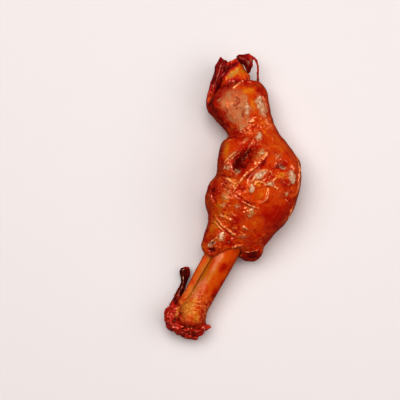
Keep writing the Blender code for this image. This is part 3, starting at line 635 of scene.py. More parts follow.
# In mm: the bone's grain, its pitted lower end, and the gristle left on it.
GRAIN_HEIGHT = 0.14
PIT_HEIGHT = 0.3
CRUST_HEIGHT = 0.6


def smooth_step(low, high, values):
    """0 where values are low, 1 where they are high, and a soft step between."""
    share = np.clip((values - low) / (high - low), 0.0, 1.0)
    return share * share * (3 - 2 * share)


def smooth_path(path, steps=20):
    """Points on a smooth curve through all the points of a path."""
    points = np.array(path, float)
    ends = np.vstack([2 * points[0] - points[1], points, 2 * points[-1] - points[-2]])
    # The last place is just short of the last point, because no span starts there.
    places = np.linspace(0, len(points) - 1 - 1e-9, steps)
    first = places.astype(int)
    t = (places - first)[:, None]
    before, start, end, after = (ends[first + k] for k in range(4))
    bend = (end - before) * t + (2 * before - 5 * start + 4 * end - after) * t**2
    return start + 0.5 * (bend + (3 * start - before - 3 * end + after) * t**3)


def toward_eye(elevation, distance):
    """The way from the middle of the picture to an eye that high above the horizon and that far away."""
    return Vector((0.0, -cos(elevation), sin(elevation))) * distance


def as_seen(points):
    """Where the eye sees points, on the plane square to its view that has the middle of the picture in it."""
    offset = points - np.array(AIM)
    up = offset @ np.array((0.0, sin(EYE_ELEVATION), cos(EYE_ELEVATION)))
    closer = offset @ np.array(toward_eye(EYE_ELEVATION, 1.0))
    return np.array(AIM[:2]) + np.stack([offset[:, 0], up], axis=1) / (1 - closer / EYE_DISTANCE)[:, None]


def fractal(places, seed, octaves):
    """Smooth noise from about -1 to 1 at each place, different for each seed."""
    shift = Vector([seed * step for step in SEED_SHIFT])
    return np.array([noise.fractal(Vector(p) + shift, OCTAVE_FALL, OCTAVE_STEP, octaves) for p in places])


def ridges(values, top, fall):
    """Ridges that are top high where a noise passes 0, and fall off with it on both sides."""
    return top - fall * np.abs(values)


class Clay:
    """The vertices of a piece's mesh, to be moved and painted."""

    def __init__(self, obj, wander):
        """Wander is how far the edges of places painted on the piece wander, in mm."""
        self.mesh = obj.data
        count = len(self.mesh.vertices)
        self.points = np.empty(count * 3, np.float32)
        self.mesh.vertices.foreach_get("co", self.points)
        self.points = self.points.reshape(-1, 3).astype(float)
        edges = np.empty(len(self.mesh.edges) * 2, np.int32)
        self.mesh.edges.foreach_get("vertices", edges)
        self.edges = edges.reshape(-1, 2)
        self.near = np.bincount(self.edges.ravel(), minlength=count)
        self.read_normals()
        drift = [self.noise(5 * MM, seed=seed, octaves=4) for seed in WANDER_SEEDS]
        self.wander = wander * MM * np.stack(drift, axis=1)

    def read_normals(self):
        normals = np.empty(len(self.points) * 3, np.float32)
        self.mesh.vertex_normals.foreach_get("vector", normals)
        self.normals = normals.reshape(-1, 3).astype(float)

    def move(self, points):
        self.points = points
        self.mesh.vertices.foreach_set("co", points.astype(np.float32).ravel())
        self.mesh.update()
        self.read_normals()

    def lift(self, heights):
        """Moves each vertex out along its normal, and none below the level that the leg rests on."""
        moved = self.points + self.normals * heights[:, None]
        floor = np.minimum(self.points[:, 2], 0.0)
        moved[:, 2] = np.maximum(moved[:, 2], floor)
        self.move(moved)

    def blurred(self, values, times):
        """Values averaged with those of the vertices beside them, over and over."""
        a, b = self.edges.T
        for _ in range(times):
            gathered = np.bincount(a, values[b], len(values)) + np.bincount(b, values[a], len(values))
            values = 0.5 * values + 0.5 * gathered / self.near
        return values

    def smooth(self, times):
        self.move(np.stack([self.blurred(axis, times) for axis in self.points.T], axis=1))

    def hollowness(self, times, size):
        """From -1 on ridges to 1 in creases, for relief of about that size."""
        flat = np.stack([self.blurred(axis, times) for axis in self.points.T], axis=1)
        return np.clip(((flat - self.points) * self.normals).sum(1) / size, -1.0, 1.0)

    def strokes(self, strokes):
        """How far a table of strokes lifts each vertex."""
        return sum((self.stroke(stroke) for stroke in strokes), np.zeros(len(self.points)))

    def stroke(self, stroke):
        """How far a stroke lifts each vertex."""
        line = smooth_path(stroke.path) * MM
        width = stroke.width * MM
        low, high = line.min(0) - 2 * width, line.max(0) + 2 * width
        flat = as_seen(self.points) + 0.5 * self.wander
        near = np.flatnonzero(((flat > low) & (flat < high)).all(1) & (self.normals[:, 2] > 0.0))
        steps = np.diff(line, axis=0)
        offset = flat[near, None] - line[None, :-1]
        share = np.clip((offset * steps).sum(2) / (steps**2).sum(1), 0.0, 1.0)
        distance = np.linalg.norm(offset - share[..., None] * steps, axis=2)
        nearest = distance.argmin(axis=1)
        row = np.arange(len(near))
        way = offset[row, nearest]
        across = steps[nearest, 0] * way[:, 1] - steps[nearest, 1] * way[:, 0]
        signed = distance[row, nearest] * np.sign(across) / width
        run = (nearest + share[row, nearest]) / len(steps)
        ends = smooth_step(0.0, STROKE_END, run) * smooth_step(0.0, STROKE_END, 1 - run)
        profile = stroke.height * np.exp(-((signed / STROKE_FALL) ** 2))
        profile += stroke.lip * np.exp(-(((signed - LIP_PLACE) / LIP_FALL) ** 2))
        uneven = 1 + STROKE_VARIES * fractal(self.points[near] / (3 * MM), seed=7, octaves=2)
        shown = smooth_step(0.1, 0.5, self.normals[near, 2])
        heights = np.zeros(len(flat))
        heights[near] = profile * MM * uneven * ends * shown
        return heights

    def spots(self, spots, soft=1.0, ground=0.0):
        """The amounts of a table of spots at each vertex, on top of what the ground has."""
        return sum((self.spot(spot, soft) for spot in spots), ground)

    def spot(self, spot, soft=1.0):
        """A spot's amount at each vertex. Soft is how much of the way out from its middle it fades over."""
        turn = radians(spot.direction)
        x, y = (as_seen(self.points) + self.wander - (spot.x * MM, spot.y * MM)).T
        along = (x * cos(turn) + y * sin(turn)) / (spot.long * MM)
        across = (y * cos(turn) - x * sin(turn)) / (spot.wide * MM)
        fade = smooth_step(1 - soft, 1 + 0.3 * soft, np.hypot(along, across))
        shown = smooth_step(-0.4, 0.2, self.normals[:, 2])
        return spot.amount * (1 - fade) * shown

    def noise(self, size, seed, octaves=3, stretch=(1.0, 1.0, 1.0)):
        """Smooth noise from -1 to 1 with features of about that size, drawn out along the axes by stretch."""
        return fractal(self.points / (size * np.array(stretch)), seed, octaves)

    def pull_all(self, pulls):
        """Draws the piece along at each place of a table of pulls."""
        for pull in pulls:
            seen = as_seen(self.points) - (pull.x * MM, pull.y * MM)
            share = smooth_step(pull.reach * MM, 0.0, np.hypot(*seen.T))
            self.move(self.points + share[:, None] * (pull.way[0] * MM, pull.way[1] * MM, 0.0))

    def field(self, field, seed):
        """How far a patch of fine wrinkles lifts each vertex."""
        share = self.spot(Spot(field.x, field.y, field.long, field.wide, field.direction, amount=1.0))
        near = np.flatnonzero(share > 0.01)
        turn, spacing = radians(field.run), field.spacing * MM
        length = WRINKLE_LENGTH * spacing
        x, y, z = self.points[near].T
        along, across = x * cos(turn) + y * sin(turn), y * cos(turn) - x * sin(turn)
        places = np.stack([along / length, across / spacing, z / length], axis=1)
        places += WRINKLE_WINDS * fractal(0.4 * places, seed, octaves=2)[:, None]
        heights = np.zeros(len(self.points))
        wrinkles = ridges(fractal(places, seed, octaves=3), top=0.5, fall=2.0)
        heights[near] = field.height * MM * share[near] * wrinkles
        return heights

    def paint(self, name, values):
        """Keeps values on the mesh, for the piece's finish to read."""
        attribute = self.mesh.attributes.new(name, "FLOAT", "POINT")
        attribute.data.foreach_set("value", values.astype(np.float32))


def apply_modifiers(obj):
    graph = bpy.context.evaluated_depsgraph_get()
    mesh = bpy.data.meshes.new_from_object(obj.evaluated_get(graph))
    obj.modifiers.clear()
    old, obj.data = obj.data, mesh
    bpy.data.meshes.remove(old)


def remeshed_copy(name, node, facet):
    """A piece that starts as a fine, even copy of a solid."""
    bm = bmesh.new()
    bm.from_mesh(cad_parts[node].data)
    bmesh.ops.remove_doubles(bm, verts=bm.verts, dist=SAME_PLACE)
    mesh = bpy.data.meshes.new(name)
    bm.to_mesh(mesh)
    bm.free()
    mesh.materials.clear()
    obj = bpy.data.objects.new(name, mesh)
    bpy.context.scene.collection.objects.link(obj)
    remesh = obj.modifiers.new("even facets", "REMESH")
    remesh.mode = "VOXEL"
    remesh.voxel_size = facet
    remesh.use_smooth_shade = True
    apply_modifiers(obj)
    return obj


def thin_out(obj, most):
    """Takes out facets where the piece is smoothest, until it has no more than that many triangles."""
    triangles = sum(len(face.vertices) - 2 for face in obj.data.polygons)
    if triangles > most:
        thinned = obj.modifiers.new("fewer facets", "DECIMATE")
        thinned.ratio = most / triangles
        apply_modifiers(obj)


def finished(obj, node, material):
    """Hands a finished piece over: it takes the place of its solid."""
    thin_out(obj, MOST_TRIANGLES)
    obj.data.materials.append(material)
    obj.data.shade_smooth()
    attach(obj, BODY)
    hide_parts(node)


def paint_glaze(clay, lines, tone, dry_and_highlight, rough):
    """Paints what a glazed finish reads: hollows and lines, for painted shade in the creases and painted
    highlights on the folds, tone, pale patches with painted highlights, and rough places.
    """
    fine, coarse = clay.hollowness(times=6, size=0.25 * MM), clay.hollowness(times=30, size=0.9 * MM)
    clay.paint("rough", rough)
    clay.paint("relief", 0.6 * fine + 0.6 * coarse)
    broken = np.maximum(0.1, 1 + 1.5 * clay.noise(1.3 * MM, seed=43))
    clay.paint("line", np.clip(lines / MM * broken, -1, 1))
    clay.paint("tone", tone)
    clay.paint("dry_and_highlight", dry_and_highlight)


def make_skin(settings):
    skin = remeshed_copy("glazed-skin", "skin_and_meat", settings.facet)
    clay = Clay(skin, wander=1.4)
    clay.smooth(times=4)
    clay.pull_all(SKIN_PULLS)
    clay.lift(settings.fold_height * MM * clay.spots(SKIN_SPOTS))
    lines = clay.strokes(SKIN_STROKES)
    clay.lift(settings.fold_height * np.where(lines > 0, lines, CREASE_DEPTH * lines))

    # Fine wrinkles in their fields, and lumps and crinkles except where the skin is drawn smooth.
    drawn = np.clip(clay.spots(SMOOTH_PLACES, soft=0.5), 0, 1)
    lumps = SKIN_LUMP_HEIGHT * clay.noise(6 * MM, seed=35, octaves=2) * (1 - 0.7 * drawn)
    wrinkled = sum(clay.field(field, seed) for seed, field in enumerate(SKIN_FIELDS))
    clay.lift(lumps + settings.fold_height * wrinkled)
    crinkles = ridges(clay.noise(2.2 * MM, seed=36, stretch=(1.5, 1.0, 1.3)), top=0.4, fall=2.0)
    rough = (1 - 0.9 * drawn) * smooth_step(-0.5, 0.3, clay.noise(9 * MM, seed=37, octaves=2))
    clay.lift(CRINKLE_HEIGHT * crinkles * rough)

    # Wrinkles on the sides and underneath.
    sides = smooth_step(0.75, 0.2, clay.normals[:, 2])
    sides *= smooth_step(-0.5, 0.4, clay.noise(14 * MM, seed=33, octaves=2))
    wrinkles = ridges(clay.noise(2.6 * MM, seed=34, stretch=(2.6, 1.0, 2.6)), top=0.6, fall=2.4)
    clay.lift(settings.wrinkle_height * wrinkles * sides)

    # Tone with painted shade in some spots, dried patches with painted highlights, and a dull film with
    # painted sheen.
    tone = clay.spots(SKIN_TONES_AND_SHADE) + SKIN_TONE + 0.9 * clay.noise(7 * MM, seed=5, octaves=4)
    dry_and_highlight = clay.spots(DRY_AND_HIGHLIGHT_PATCHES, soft=0.6) + 0.7 * clay.noise(2.5 * MM, seed=38, octaves=4)
    clay.paint("film_and_sheen", clay.spots(SKIN_FILM_AND_SHEEN, soft=0.45))
    paint_glaze(clay, lines, tone, dry_and_highlight, rough)
    finish = glazed_finish("glazed skin", settings, filmed=True)
    finished(skin, "skin_and_meat", finish)


def make_bone(settings):
    bone = remeshed_copy("stained-bone", "cannon_bone", settings.facet)
    clay = Clay(bone, wander=0.5)
    clay.smooth(times=3)
    clay.lift(clay.strokes(BONE_STROKES))
    grain = clay.noise(1.6 * MM, seed=11, stretch=(2.2, 3.6, 2.0))
    off = clay.points[:, :2] / MM - BONE_TOP
    along = off @ np.array(BONE_WAY)
    across = off @ np.array((-BONE_WAY[1], BONE_WAY[0]))
    start = GRISTLE_START - GRISTLE_CURVE * across**2
    crust = smooth_step(-5.0, 3.0, along - start + 4 * clay.noise(4 * MM, seed=13, octaves=4))
    end = smooth_step(*PITTED_END, along)
    pits = end * ridges(clay.noise(2.2 * MM, seed=15), top=0.3, fall=1.6)
    crumbs = crust * (CRUST_HEIGHT + clay.noise(3 * MM, seed=14))
    clay.lift(MM * (GRAIN_HEIGHT * grain + PIT_HEIGHT * pits + crumbs))
    mottle = 0.9 * clay.noise(4 * MM, seed=12, stretch=(1.0, 1.8, 1.0))
    clay.paint("stain", clay.spots(BONE_STAINS) + mottle)
    clay.paint("film_and_sheen", clay.spots(BONE_FILM_AND_SHEEN))
    clay.paint("crust", crust)
    clay.paint("pitted", 0.25 + 0.75 * end)
    # Hollows, for painted shade in the grooves, but not on the pitted end.
    clay.paint("relief", clay.hollowness(times=12, size=0.3 * MM) * (1 - end))
    finished(bone, "cannon_bone", bone_finish(settings))


def make_gristle(settings):
    gristle = remeshed_copy("knuckle-gristle", "knuckle_gristle", settings.facet)
    clay = Clay(gristle, wander=0.0)
    clay.smooth(times=3)
    clay.pull_all(GRISTLE_PULLS)
    lumps = clay.noise(7 * MM, seed=21, octaves=2)
    lumps += ridges(clay.noise(5 * MM, seed=22, octaves=5, stretch=(1.8, 1.0, 1.4)), top=0.4, fall=1.6)
    sinew = smooth_step(*SINEW_START, clay.points[:, 1] / MM)
    knots = SINEW_HEIGHT * sinew * clay.noise(6 * MM, seed=23, octaves=2)
    clay.lift(settings.lump_height * lumps * (1 - 0.8 * sinew) + knots)
    # Hollows and the sinew, for painted shade in the hollows and the dark sinew, and painted glints on the
    # lumps.
    clay.paint("relief", clay.hollowness(times=24, size=0.5 * MM) + 1.3 * sinew)
    clay.paint("thin", clay.spots(THIN_GRISTLE) + 0.4 * clay.noise(3 * MM, seed=24, octaves=4))
    finished(gristle, "knuckle_gristle", gristle_finish(settings))


def make_toe(name, node, slot, settings, stretch, pulls, strokes, tone, tones, dry_and_highlight):
    """A toe end: stretch is how far its streaks are drawn out, and tone its colour outside the spots."""
    toe = remeshed_copy(name, node, settings.facet)
    clay = Clay(toe, wander=1.0)
    clay.smooth(times=2)
    clay.pull_all(pulls)
    lines = clay.strokes(strokes)
    # The three names differ in length, so each toe end has streaks of its own.
    streaks = STREAK_HEIGHT * clay.noise(1.8 * MM, seed=len(name), stretch=stretch)
    clay.lift(lines + streaks)
    # Tone with painted shade and highlight in some spots, and pale patches with painted highlights and
    # glints.
    mottled = tone + 0.5 * clay.noise(3 * MM, seed=41, stretch=stretch)
    dried = clay.spots(dry_and_highlight, soft=0.7, ground=0.4 * clay.noise(2 * MM, seed=42))
    paint_glaze(clay, lines, clay.spots(tones, ground=mottled), dried, np.full(len(lines), TOE_ROUGHNESS))
    finished(toe, node, glazed_finish(slot + " " + name, settings))


# ---------------------------------------------------------------- finishes

# How strongly the wet glaze bends light.
GLAZE_IOR = 1.4
# Where a Mix node has its factor, its two colours and their mixture among its sockets.
MIX_FACTOR, MIX_A, MIX_B, MIX_RESULT = 0, 6, 7, 2


class Finish:
    """A material's node tree, with short names for the nodes that the finishes share."""

    def __init__(self, name):
        self.material = bpy.data.materials.new(name)
        self.material.use_nodes = True
        self.tree = self.material.node_tree
        self.shader = self.tree.nodes["Principled BSDF"]
        self.places = self.add("ShaderNodeTexCoord").outputs["Object"]

    def add(self, kind, **settings):
        node = self.tree.nodes.new(kind)
        for key, value in settings.items():
            setattr(node, key, value)
        return node

    def put(self, socket, value):
        """Links a socket to another's output, or sets its value."""
        if isinstance(value, bpy.types.NodeSocket):
            self.tree.links.new(value, socket)
        elif hasattr(value, "__len__") and len(value) == 3 and len(socket.default_value) == 4:
            socket.default_value = (*value, 1.0)
        else:
            socket.default_value = value

    def set(self, **values):
        """Links or sets the shader's own sockets."""
        for name, value in values.items():
            self.put(self.shader.inputs[name.replace("_", " ")], value)

    def painted(self, name):
        """Values that were painted on the mesh."""
        return self.add("ShaderNodeAttribute", attribute_name=name).outputs["Fac"]

    def noise(self, size, detail=4.0, roughness=0.55, stretch=(1.0, 1.0, 1.0)):
        """Noise from 0 to 1 with features of about that size, drawn out along the axes by stretch."""
        spread = self.add("ShaderNodeMapping")
        self.put(spread.inputs["Vector"], self.places)
        spread.inputs["Scale"].default_value = [1 / (size * k) for k in stretch]
        texture = self.add("ShaderNodeTexNoise")
        self.put(texture.inputs["Vector"], spread.outputs["Vector"])
        texture.inputs["Scale"].default_value = 1.0
        texture.inputs["Detail"].default_value = detail
        texture.inputs["Roughness"].default_value = roughness
        return texture.outputs["Fac"]

    def share(self, value, low, high, to_low=0.0, to_high=1.0):
        """Value from low to high, as a share from to_low to to_high."""
        node = self.add("ShaderNodeMapRange", interpolation_type="SMOOTHSTEP")
        for socket, number in zip(node.inputs, (value, low, high, to_low, to_high)):
            self.put(socket, number)
        return node.outputs["Result"]

    def math(self, operation, *values):
        node = self.add("ShaderNodeMath", operation=operation)
        for socket, value in zip(node.inputs, values):
            self.put(socket, value)
        return node.outputs["Value"]

    def swing(self, noise, much=1.0):
        """A noise moved to lie round 0, much from its lowest to its highest."""
        return self.math("MULTIPLY_ADD", noise, much, -0.5 * much)

    def threads(self, noise, width):
        """Thin lines, 1 along their middles, where a noise passes its own middle."""
        off_middle = self.math("ABSOLUTE", self.swing(noise))
        return self.share(off_middle, 0.0, width, to_low=1.0, to_high=0.0)

    def mix(self, factor, a, b):
        node = self.add("ShaderNodeMix", data_type="RGBA")
        self.put(node.inputs[MIX_FACTOR], factor)
        self.put(node.inputs[MIX_A], a)
        self.put(node.inputs[MIX_B], b)
        return node.outputs[MIX_RESULT]

    def bump(self, height, distance):
        node = self.add("ShaderNodeBump")
        node.inputs["Distance"].default_value = distance
        self.put(node.inputs["Height"], height)
        self.put(self.shader.inputs["Normal"], node.outputs["Normal"])


def glazed_finish(name, settings, filmed=False):
    """Sauce that is dark in the hollows, red to gold between them, and pale where it has dried, with painted
    shade in the hollows and painted highlights on the folds and dried patches.

    Filmed says that a dull film, which is also a painted sheen, is painted on the piece.
    """
    finish = Finish(name)
    rough, relief, line = (finish.painted(key) for key in ("rough", "relief", "line"))
    grain = finish.noise(0.9 * MM, detail=5.0, roughness=0.6)
    veins = finish.threads(finish.noise(4 * MM, detail=3.0, roughness=0.6), width=0.045)

    # From dark over red and orange to gold, and more mottled where the skin is rough; the dark and red of
    # some tone spots are painted shade.
    mottle = finish.swing(finish.noise(3 * MM, detail=5.0, roughness=0.65))
    mottle = finish.math("MULTIPLY", mottle, finish.share(rough, 0.0, 1.0, to_low=1.0, to_high=5.0))
    tone = finish.math("ADD", finish.painted("tone"), mottle)
    tone = finish.math("SUBTRACT", tone, finish.math("MULTIPLY", veins, 0.7))
    colour = finish.mix(finish.share(tone, -0.8, 0.8), settings.red, settings.orange)
    colour = finish.mix(finish.share(tone, 0.8, 2.0), colour, settings.gold)
    colour = finish.mix(finish.share(tone, -1.0, -2.6), colour, settings.dark)

    # The dull film and painted sheen, thicker in some places than in others.
    film_and_sheen = 0.0
    if filmed:
        thick = finish.noise(5 * MM, detail=5.0, roughness=0.65, stretch=(0.6, 1.4, 1.0))
        thick = finish.share(thick, 0.35, 0.65, to_low=0.35, to_high=0.85)
        film_and_sheen = finish.math("SUBTRACT", finish.painted("film_and_sheen"), finish.math("MULTIPLY", veins, 0.3))
        film_and_sheen = finish.share(film_and_sheen, 0.0, 1.0)
        colour = finish.mix(finish.math("MULTIPLY", film_and_sheen, thick), colour, settings.film_and_sheen)

    # Painted highlights on the tops of the folds and ridges, where the glaze is also thinner, but hardly
    # where the tone is darkest.
    high = finish.share(relief, -0.25, -1.0, to_high=0.4)
    high = finish.math("MAXIMUM", high, finish.share(line, 0.2, 1.0, to_high=0.9))
    high = finish.math("MULTIPLY", high, finish.share(tone, -3.4, -2.0, to_low=0.12))
    colour = finish.mix(high, colour, settings.ridge_highlight)

    # Patches of dried glaze that are also painted highlights, with uneven edges and crumpled middles painted
    # cream as the brightest highlights.
    edge = finish.painted("dry_and_highlight")
    uneven = finish.swing(finish.noise(3 * MM, detail=5.0, roughness=0.7), 6.5)
    uneven = finish.math("MULTIPLY", uneven, finish.share(edge, 0.2, 0.9))
    edge = finish.math("ADD", edge, uneven)
    dry_and_highlight = finish.share(edge, -0.2, 2.2, to_high=settings.patch_paleness)
    dry_and_highlight = finish.math("MULTIPLY", dry_and_highlight, finish.share(veins, 0.0, 1.0, to_low=1.0, to_high=0.4))
    colour = finish.mix(dry_and_highlight, colour, settings.pale)
    crumpled = finish.threads(finish.noise(2.6 * MM, detail=4.0, roughness=0.65), width=0.1)
    core = finish.share(edge, 0.9, 2.5)
    core = finish.math("MULTIPLY", core, finish.share(crumpled, 0.0, 1.0, to_low=0.45))
    colour = finish.mix(core, colour, settings.highlight_cream)

    # Light flecks, which are painted glints, and dark flecks where the skin is rough, and darker in the
    # hollows and creases: sauce gathered there, and painted shade.
    flecks = finish.noise(1.3 * MM, detail=3.0, roughness=0.55)
    light = finish.math("MULTIPLY", finish.share(flecks, 0.59, 0.71, to_high=0.7), rough)
    colour = finish.mix(light, colour, settings.ridge_highlight)
    deep = finish.math("MULTIPLY", finish.share(flecks, 0.41, 0.29, to_high=0.7), rough)
    colour = finish.mix(deep, colour, settings.dark)
    low = finish.share(relief, 0.1, 0.9, to_high=0.6)
    sauce = finish.math("MAXIMUM", low, finish.share(line, -0.3, -1.0, to_high=0.55))
    finish.set(Base_Color=finish.mix(sauce, colour, settings.dark))
    finish.set(Roughness=0.34, Specular_IOR_Level=0.15, Specular_Tint=(1.0, 0.5, 0.25))
    finish.set(Subsurface_Weight=0.04, Subsurface_Radius=(1.0, 0.25, 0.08), Subsurface_Scale=2 * MM)

    # The wet glaze, with less of it on dried places, and little on filmed ones and where the tone is darkest.
    dull = finish.math("MAXIMUM", finish.math("MULTIPLY", dry_and_highlight, 0.35), film_and_sheen)
    dull = finish.math("MAXIMUM", dull, finish.share(tone, -2.0, -3.2, to_high=0.9))
    least = 0.1 * settings.gloss
    finish.set(Coat_Weight=finish.share(dull, 0.1, 1.0, to_low=settings.gloss, to_high=least))
    finish.set(Coat_Roughness=0.07, Coat_IOR=GLAZE_IOR)
    crinkles = finish.math("MULTIPLY", rough, finish.noise(1.6 * MM, detail=3.0, roughness=0.5))
    crinkles = finish.math("MULTIPLY_ADD", dry_and_highlight, crumpled, crinkles)
    finish.bump(finish.math("MULTIPLY_ADD", grain, 0.3, crinkles), distance=0.5 * MM)
    return finish.material


def bone_finish(settings):
    """Bone with stains, a film of fat that is also a painted sheen, pale cracks with painted highlight on its
    pitted lower end, painted shade in its grooves, and gristle left on it.
    """
    finish = Finish("stained bone")
    streaks = finish.noise(1.2 * MM, detail=5.0, roughness=0.65, stretch=(1.2, 4.0, 1.2))
    pores = finish.noise(1.5 * MM, detail=5.0, roughness=0.7)
    stain = finish.math("ADD", finish.painted("stain"), finish.swing(pores, 3.0))
    stain = finish.math("ADD", stain, finish.swing(streaks))
    colour = finish.mix(finish.share(stain, -0.2, 1.4), settings.tan, settings.stain)
    colour = finish.mix(finish.share(stain, 0.0, -1.0), colour, settings.pale)
    patchy = finish.swing(finish.noise(2.2 * MM, detail=5.0, roughness=0.7), 3.0)
    film_and_sheen = finish.math("ADD", finish.painted("film_and_sheen"), patchy)
    colour = finish.mix(finish.share(film_and_sheen, 0.2, 1.2, to_high=0.75), colour, settings.rosy)

    # Pale cracks, partly painted highlight, and the most dark flecks on the lower end; sauce in the darkest
    # stains; and sauce with painted shade in the grooves.
    pitted = finish.painted("pitted")
    cracks = finish.noise(3 * MM, detail=4.0, roughness=0.65, stretch=(1.4, 0.7, 1.0))
    cracks = finish.threads(cracks, width=0.05)
    cracks = finish.math("MULTIPLY", cracks, finish.share(pitted, 0.3, 1.0, to_high=0.7))
    colour = finish.mix(cracks, colour, settings.crackle_highlight)
    flecks = finish.noise(1.6 * MM, detail=4.0, roughness=0.7)
    flecks = finish.math("MULTIPLY", finish.share(flecks, 0.58, 0.7, to_high=0.6), pitted)
    colour = finish.mix(flecks, colour, settings.dark)
    colour = finish.mix(finish.share(stain, 1.4, 3.0, to_high=0.8), colour, settings.dark)
    grooves = finish.share(finish.painted("relief"), 0.1, 0.7, to_high=0.75)
    colour = finish.mix(grooves, colour, settings.dark)

    blotches = finish.share(finish.noise(3 * MM), 0.3, 0.7, to_high=0.7)
    crust = finish.mix(blotches, settings.crust, settings.dark)
    finish.set(Base_Color=finish.mix(finish.painted("crust"), colour, crust))
    finish.set(Roughness=0.5, Specular_IOR_Level=0.1, Specular_Tint=(1.0, 0.55, 0.3))
    finish.set(Subsurface_Weight=0.03, Subsurface_Radius=(1.0, 0.4, 0.15), Subsurface_Scale=1.5 * MM)
    finish.set(Coat_Weight=0.2, Coat_Roughness=0.3, Coat_IOR=GLAZE_IOR)
    finish.bump(finish.math("ADD", streaks, pores), distance=0.14 * MM)
    return finish.material


def gristle_finish(settings):
    """Gristle that is darker in its hollows as painted shade, lets bone through where it is thin, and has
    painted glints on its lumps.
    """
    finish = Finish("dark gristle")
    relief = finish.painted("relief")
    uneven = finish.swing(finish.noise(4 * MM, detail=5.0, roughness=0.65), 4.4)
    # Darker in the hollows as painted shade, and in random blotches.
    blotches = finish.math("ADD", relief, uneven)
    colour = finish.mix(finish.share(blotches, 0.0, 1.1), settings.light, settings.dark)
    colour = finish.mix(finish.share(blotches, -0.5, -1.3, to_high=0.8), colour, settings.warm)
    colour = finish.mix(finish.share(finish.painted("thin"), 0.3, 1.0), colour, settings.bare)
    # Painted glints: pale flecks on the lumps.
    glint = finish.noise(1.4 * MM, detail=3.0, roughness=0.6)
    glint = finish.share(glint, 0.57, 0.66, to_high=0.95)
    glint = finish.math("MULTIPLY", glint, finish.share(relief, 0.2, -0.4))
    finish.set(Base_Color=finish.mix(glint, colour, settings.glint))
    finish.set(Roughness=0.35, Specular_IOR_Level=0.15, Specular_Tint=(1.0, 0.5, 0.35))
    finish.set(Coat_Weight=0.6, Coat_Roughness=0.12, Coat_IOR=GLAZE_IOR)
    finish.bump(finish.noise(1.2 * MM, detail=4.0, roughness=0.6), distance=0.5 * MM)
    return finish.material


def plain_finish(name, colour, roughness):
    """One colour all over, for the stage."""
    finish = Finish(name)
    finish.set(Base_Color=colour, Roughness=roughness, Specular_IOR_Level=0.0)
    return finish.material


# ---------------------------------------------------------------- stage

FLOOR_HALF = 10.0
# So far below the level that the leg rests on, the floor doesn't cut into the piece.
FLOOR_DROP = 0.1 * MM
BACKGROUND_TINT = (1.0, 0.97, 0.95, 1.0)
# Between these heights of a direction, with 0 at the horizon and 1 overhead, the background goes from the
# horizon's brightness to the zenith's.
BACKGROUND_FADE = (0.08, 0.3)
# A lamp: its azimuth from +X towards +Y and its elevation in degrees, its distance, its width and height, and
# how bright its face is beside a white floor in full light. The soft ones light the surfaces and don't show
# in the glaze, and the shining ones only show in the glaze.
Lamp = namedtuple("Lamp", "azimuth elevation distance width height brightness shines")
WARM, WHITE = (1.0, 0.80, 0.58), (1.0, 0.98, 0.94)
LAMPS = {
    "soft-overhead": Lamp(125, 74, 1.5, 1.6, 1.6, 2.55, False),
    "soft-right": Lamp(-5, 42, 1.6, 1.6, 1.2, 1.35, False),
    "shine-left": Lamp(144, 63, 1.5, 1.5, 1.0, 2.8, True),
    "shine-core": Lamp(139, 72, 1.5, 0.4, 0.4, 24.0, True),
    "shine-window": Lamp(15, 12, 1.5, 0.6, 0.4, 7.0, True),
}


def make_floor(settings):
    bm = bmesh.new()
    bmesh.ops.create_grid(bm, x_segments=1, y_segments=1, size=FLOOR_HALF)
    bmesh.ops.translate(bm, verts=bm.verts, vec=(0, 0, -FLOOR_DROP))
    mesh = bpy.data.meshes.new("floor")
    bm.to_mesh(mesh)
    bm.free()
    floor = bpy.data.objects.new("floor", mesh)
    bpy.context.scene.collection.objects.link(floor)
    mesh.materials.append(plain_finish("pale floor", settings.floor, roughness=0.55))
    floor.visible_glossy = False  # the floor doesn't show in the glaze, so the sides stay deep in colour


def place_back(obj, back):
    """Puts a lamp or the camera back from the middle of the picture by that way, and aims it there."""
    middle = Vector(AIM)
    place = middle + back
    obj.location = place
    obj.rotation_euler = (middle - place).to_track_quat("-Z", "Y").to_euler()
    bpy.context.scene.collection.objects.link(obj)


def make_lights(settings):
    for name, lamp in LAMPS.items():
        light = bpy.data.lights.new(name, "AREA")
        light.shape = "RECTANGLE"
        light.size, light.size_y = lamp.width, lamp.height
        light.energy = settings.brightness * lamp.brightness * pi * lamp.width * lamp.height
        light.color = WARM if lamp.shines else WHITE
        around, up = radians(lamp.azimuth), radians(lamp.elevation)
        way = Vector((cos(up) * cos(around), cos(up) * sin(around), sin(up)))
        lit = bpy.data.objects.new(name, light)
        lit.visible_glossy = lamp.shines
        lit.visible_diffuse = not lamp.shines
        place_back(lit, way * lamp.distance)
    world = bpy.data.worlds.new("studio")
    world.use_nodes = True
    tree = world.node_tree
    ground = tree.nodes["Background"]
    ground.inputs["Color"].default_value = BACKGROUND_TINT
    direction = tree.nodes.new("ShaderNodeTexCoord")
    height = tree.nodes.new("ShaderNodeSeparateXYZ")
    fade = tree.nodes.new("ShaderNodeMapRange")
    tree.links.new(direction.outputs["Generated"], height.inputs["Vector"])
    tree.links.new(height.outputs["Z"], fade.inputs["Value"])
    tree.links.new(fade.outputs["Result"], ground.inputs["Strength"])
    fade.inputs["From Min"].default_value, fade.inputs["From Max"].default_value = BACKGROUND_FADE
    fade.inputs["To Min"].default_value = settings.horizon
    fade.inputs["To Max"].default_value = settings.zenith
    bpy.context.scene.world = world
    bpy.context.scene.view_settings.view_transform = "Standard"
    bpy.context.scene.view_settings.look = "High Contrast"


def make_camera(settings):
    data = bpy.data.cameras.new("camera")
    data.lens = data.sensor_width * settings.distance / settings.field
    camera = bpy.data.objects.new("camera", data)
    place_back(camera, toward_eye(settings.elevation, settings.distance))
    bpy.context.scene.camera = camera


# ---------------------------------------------------------------- add-on


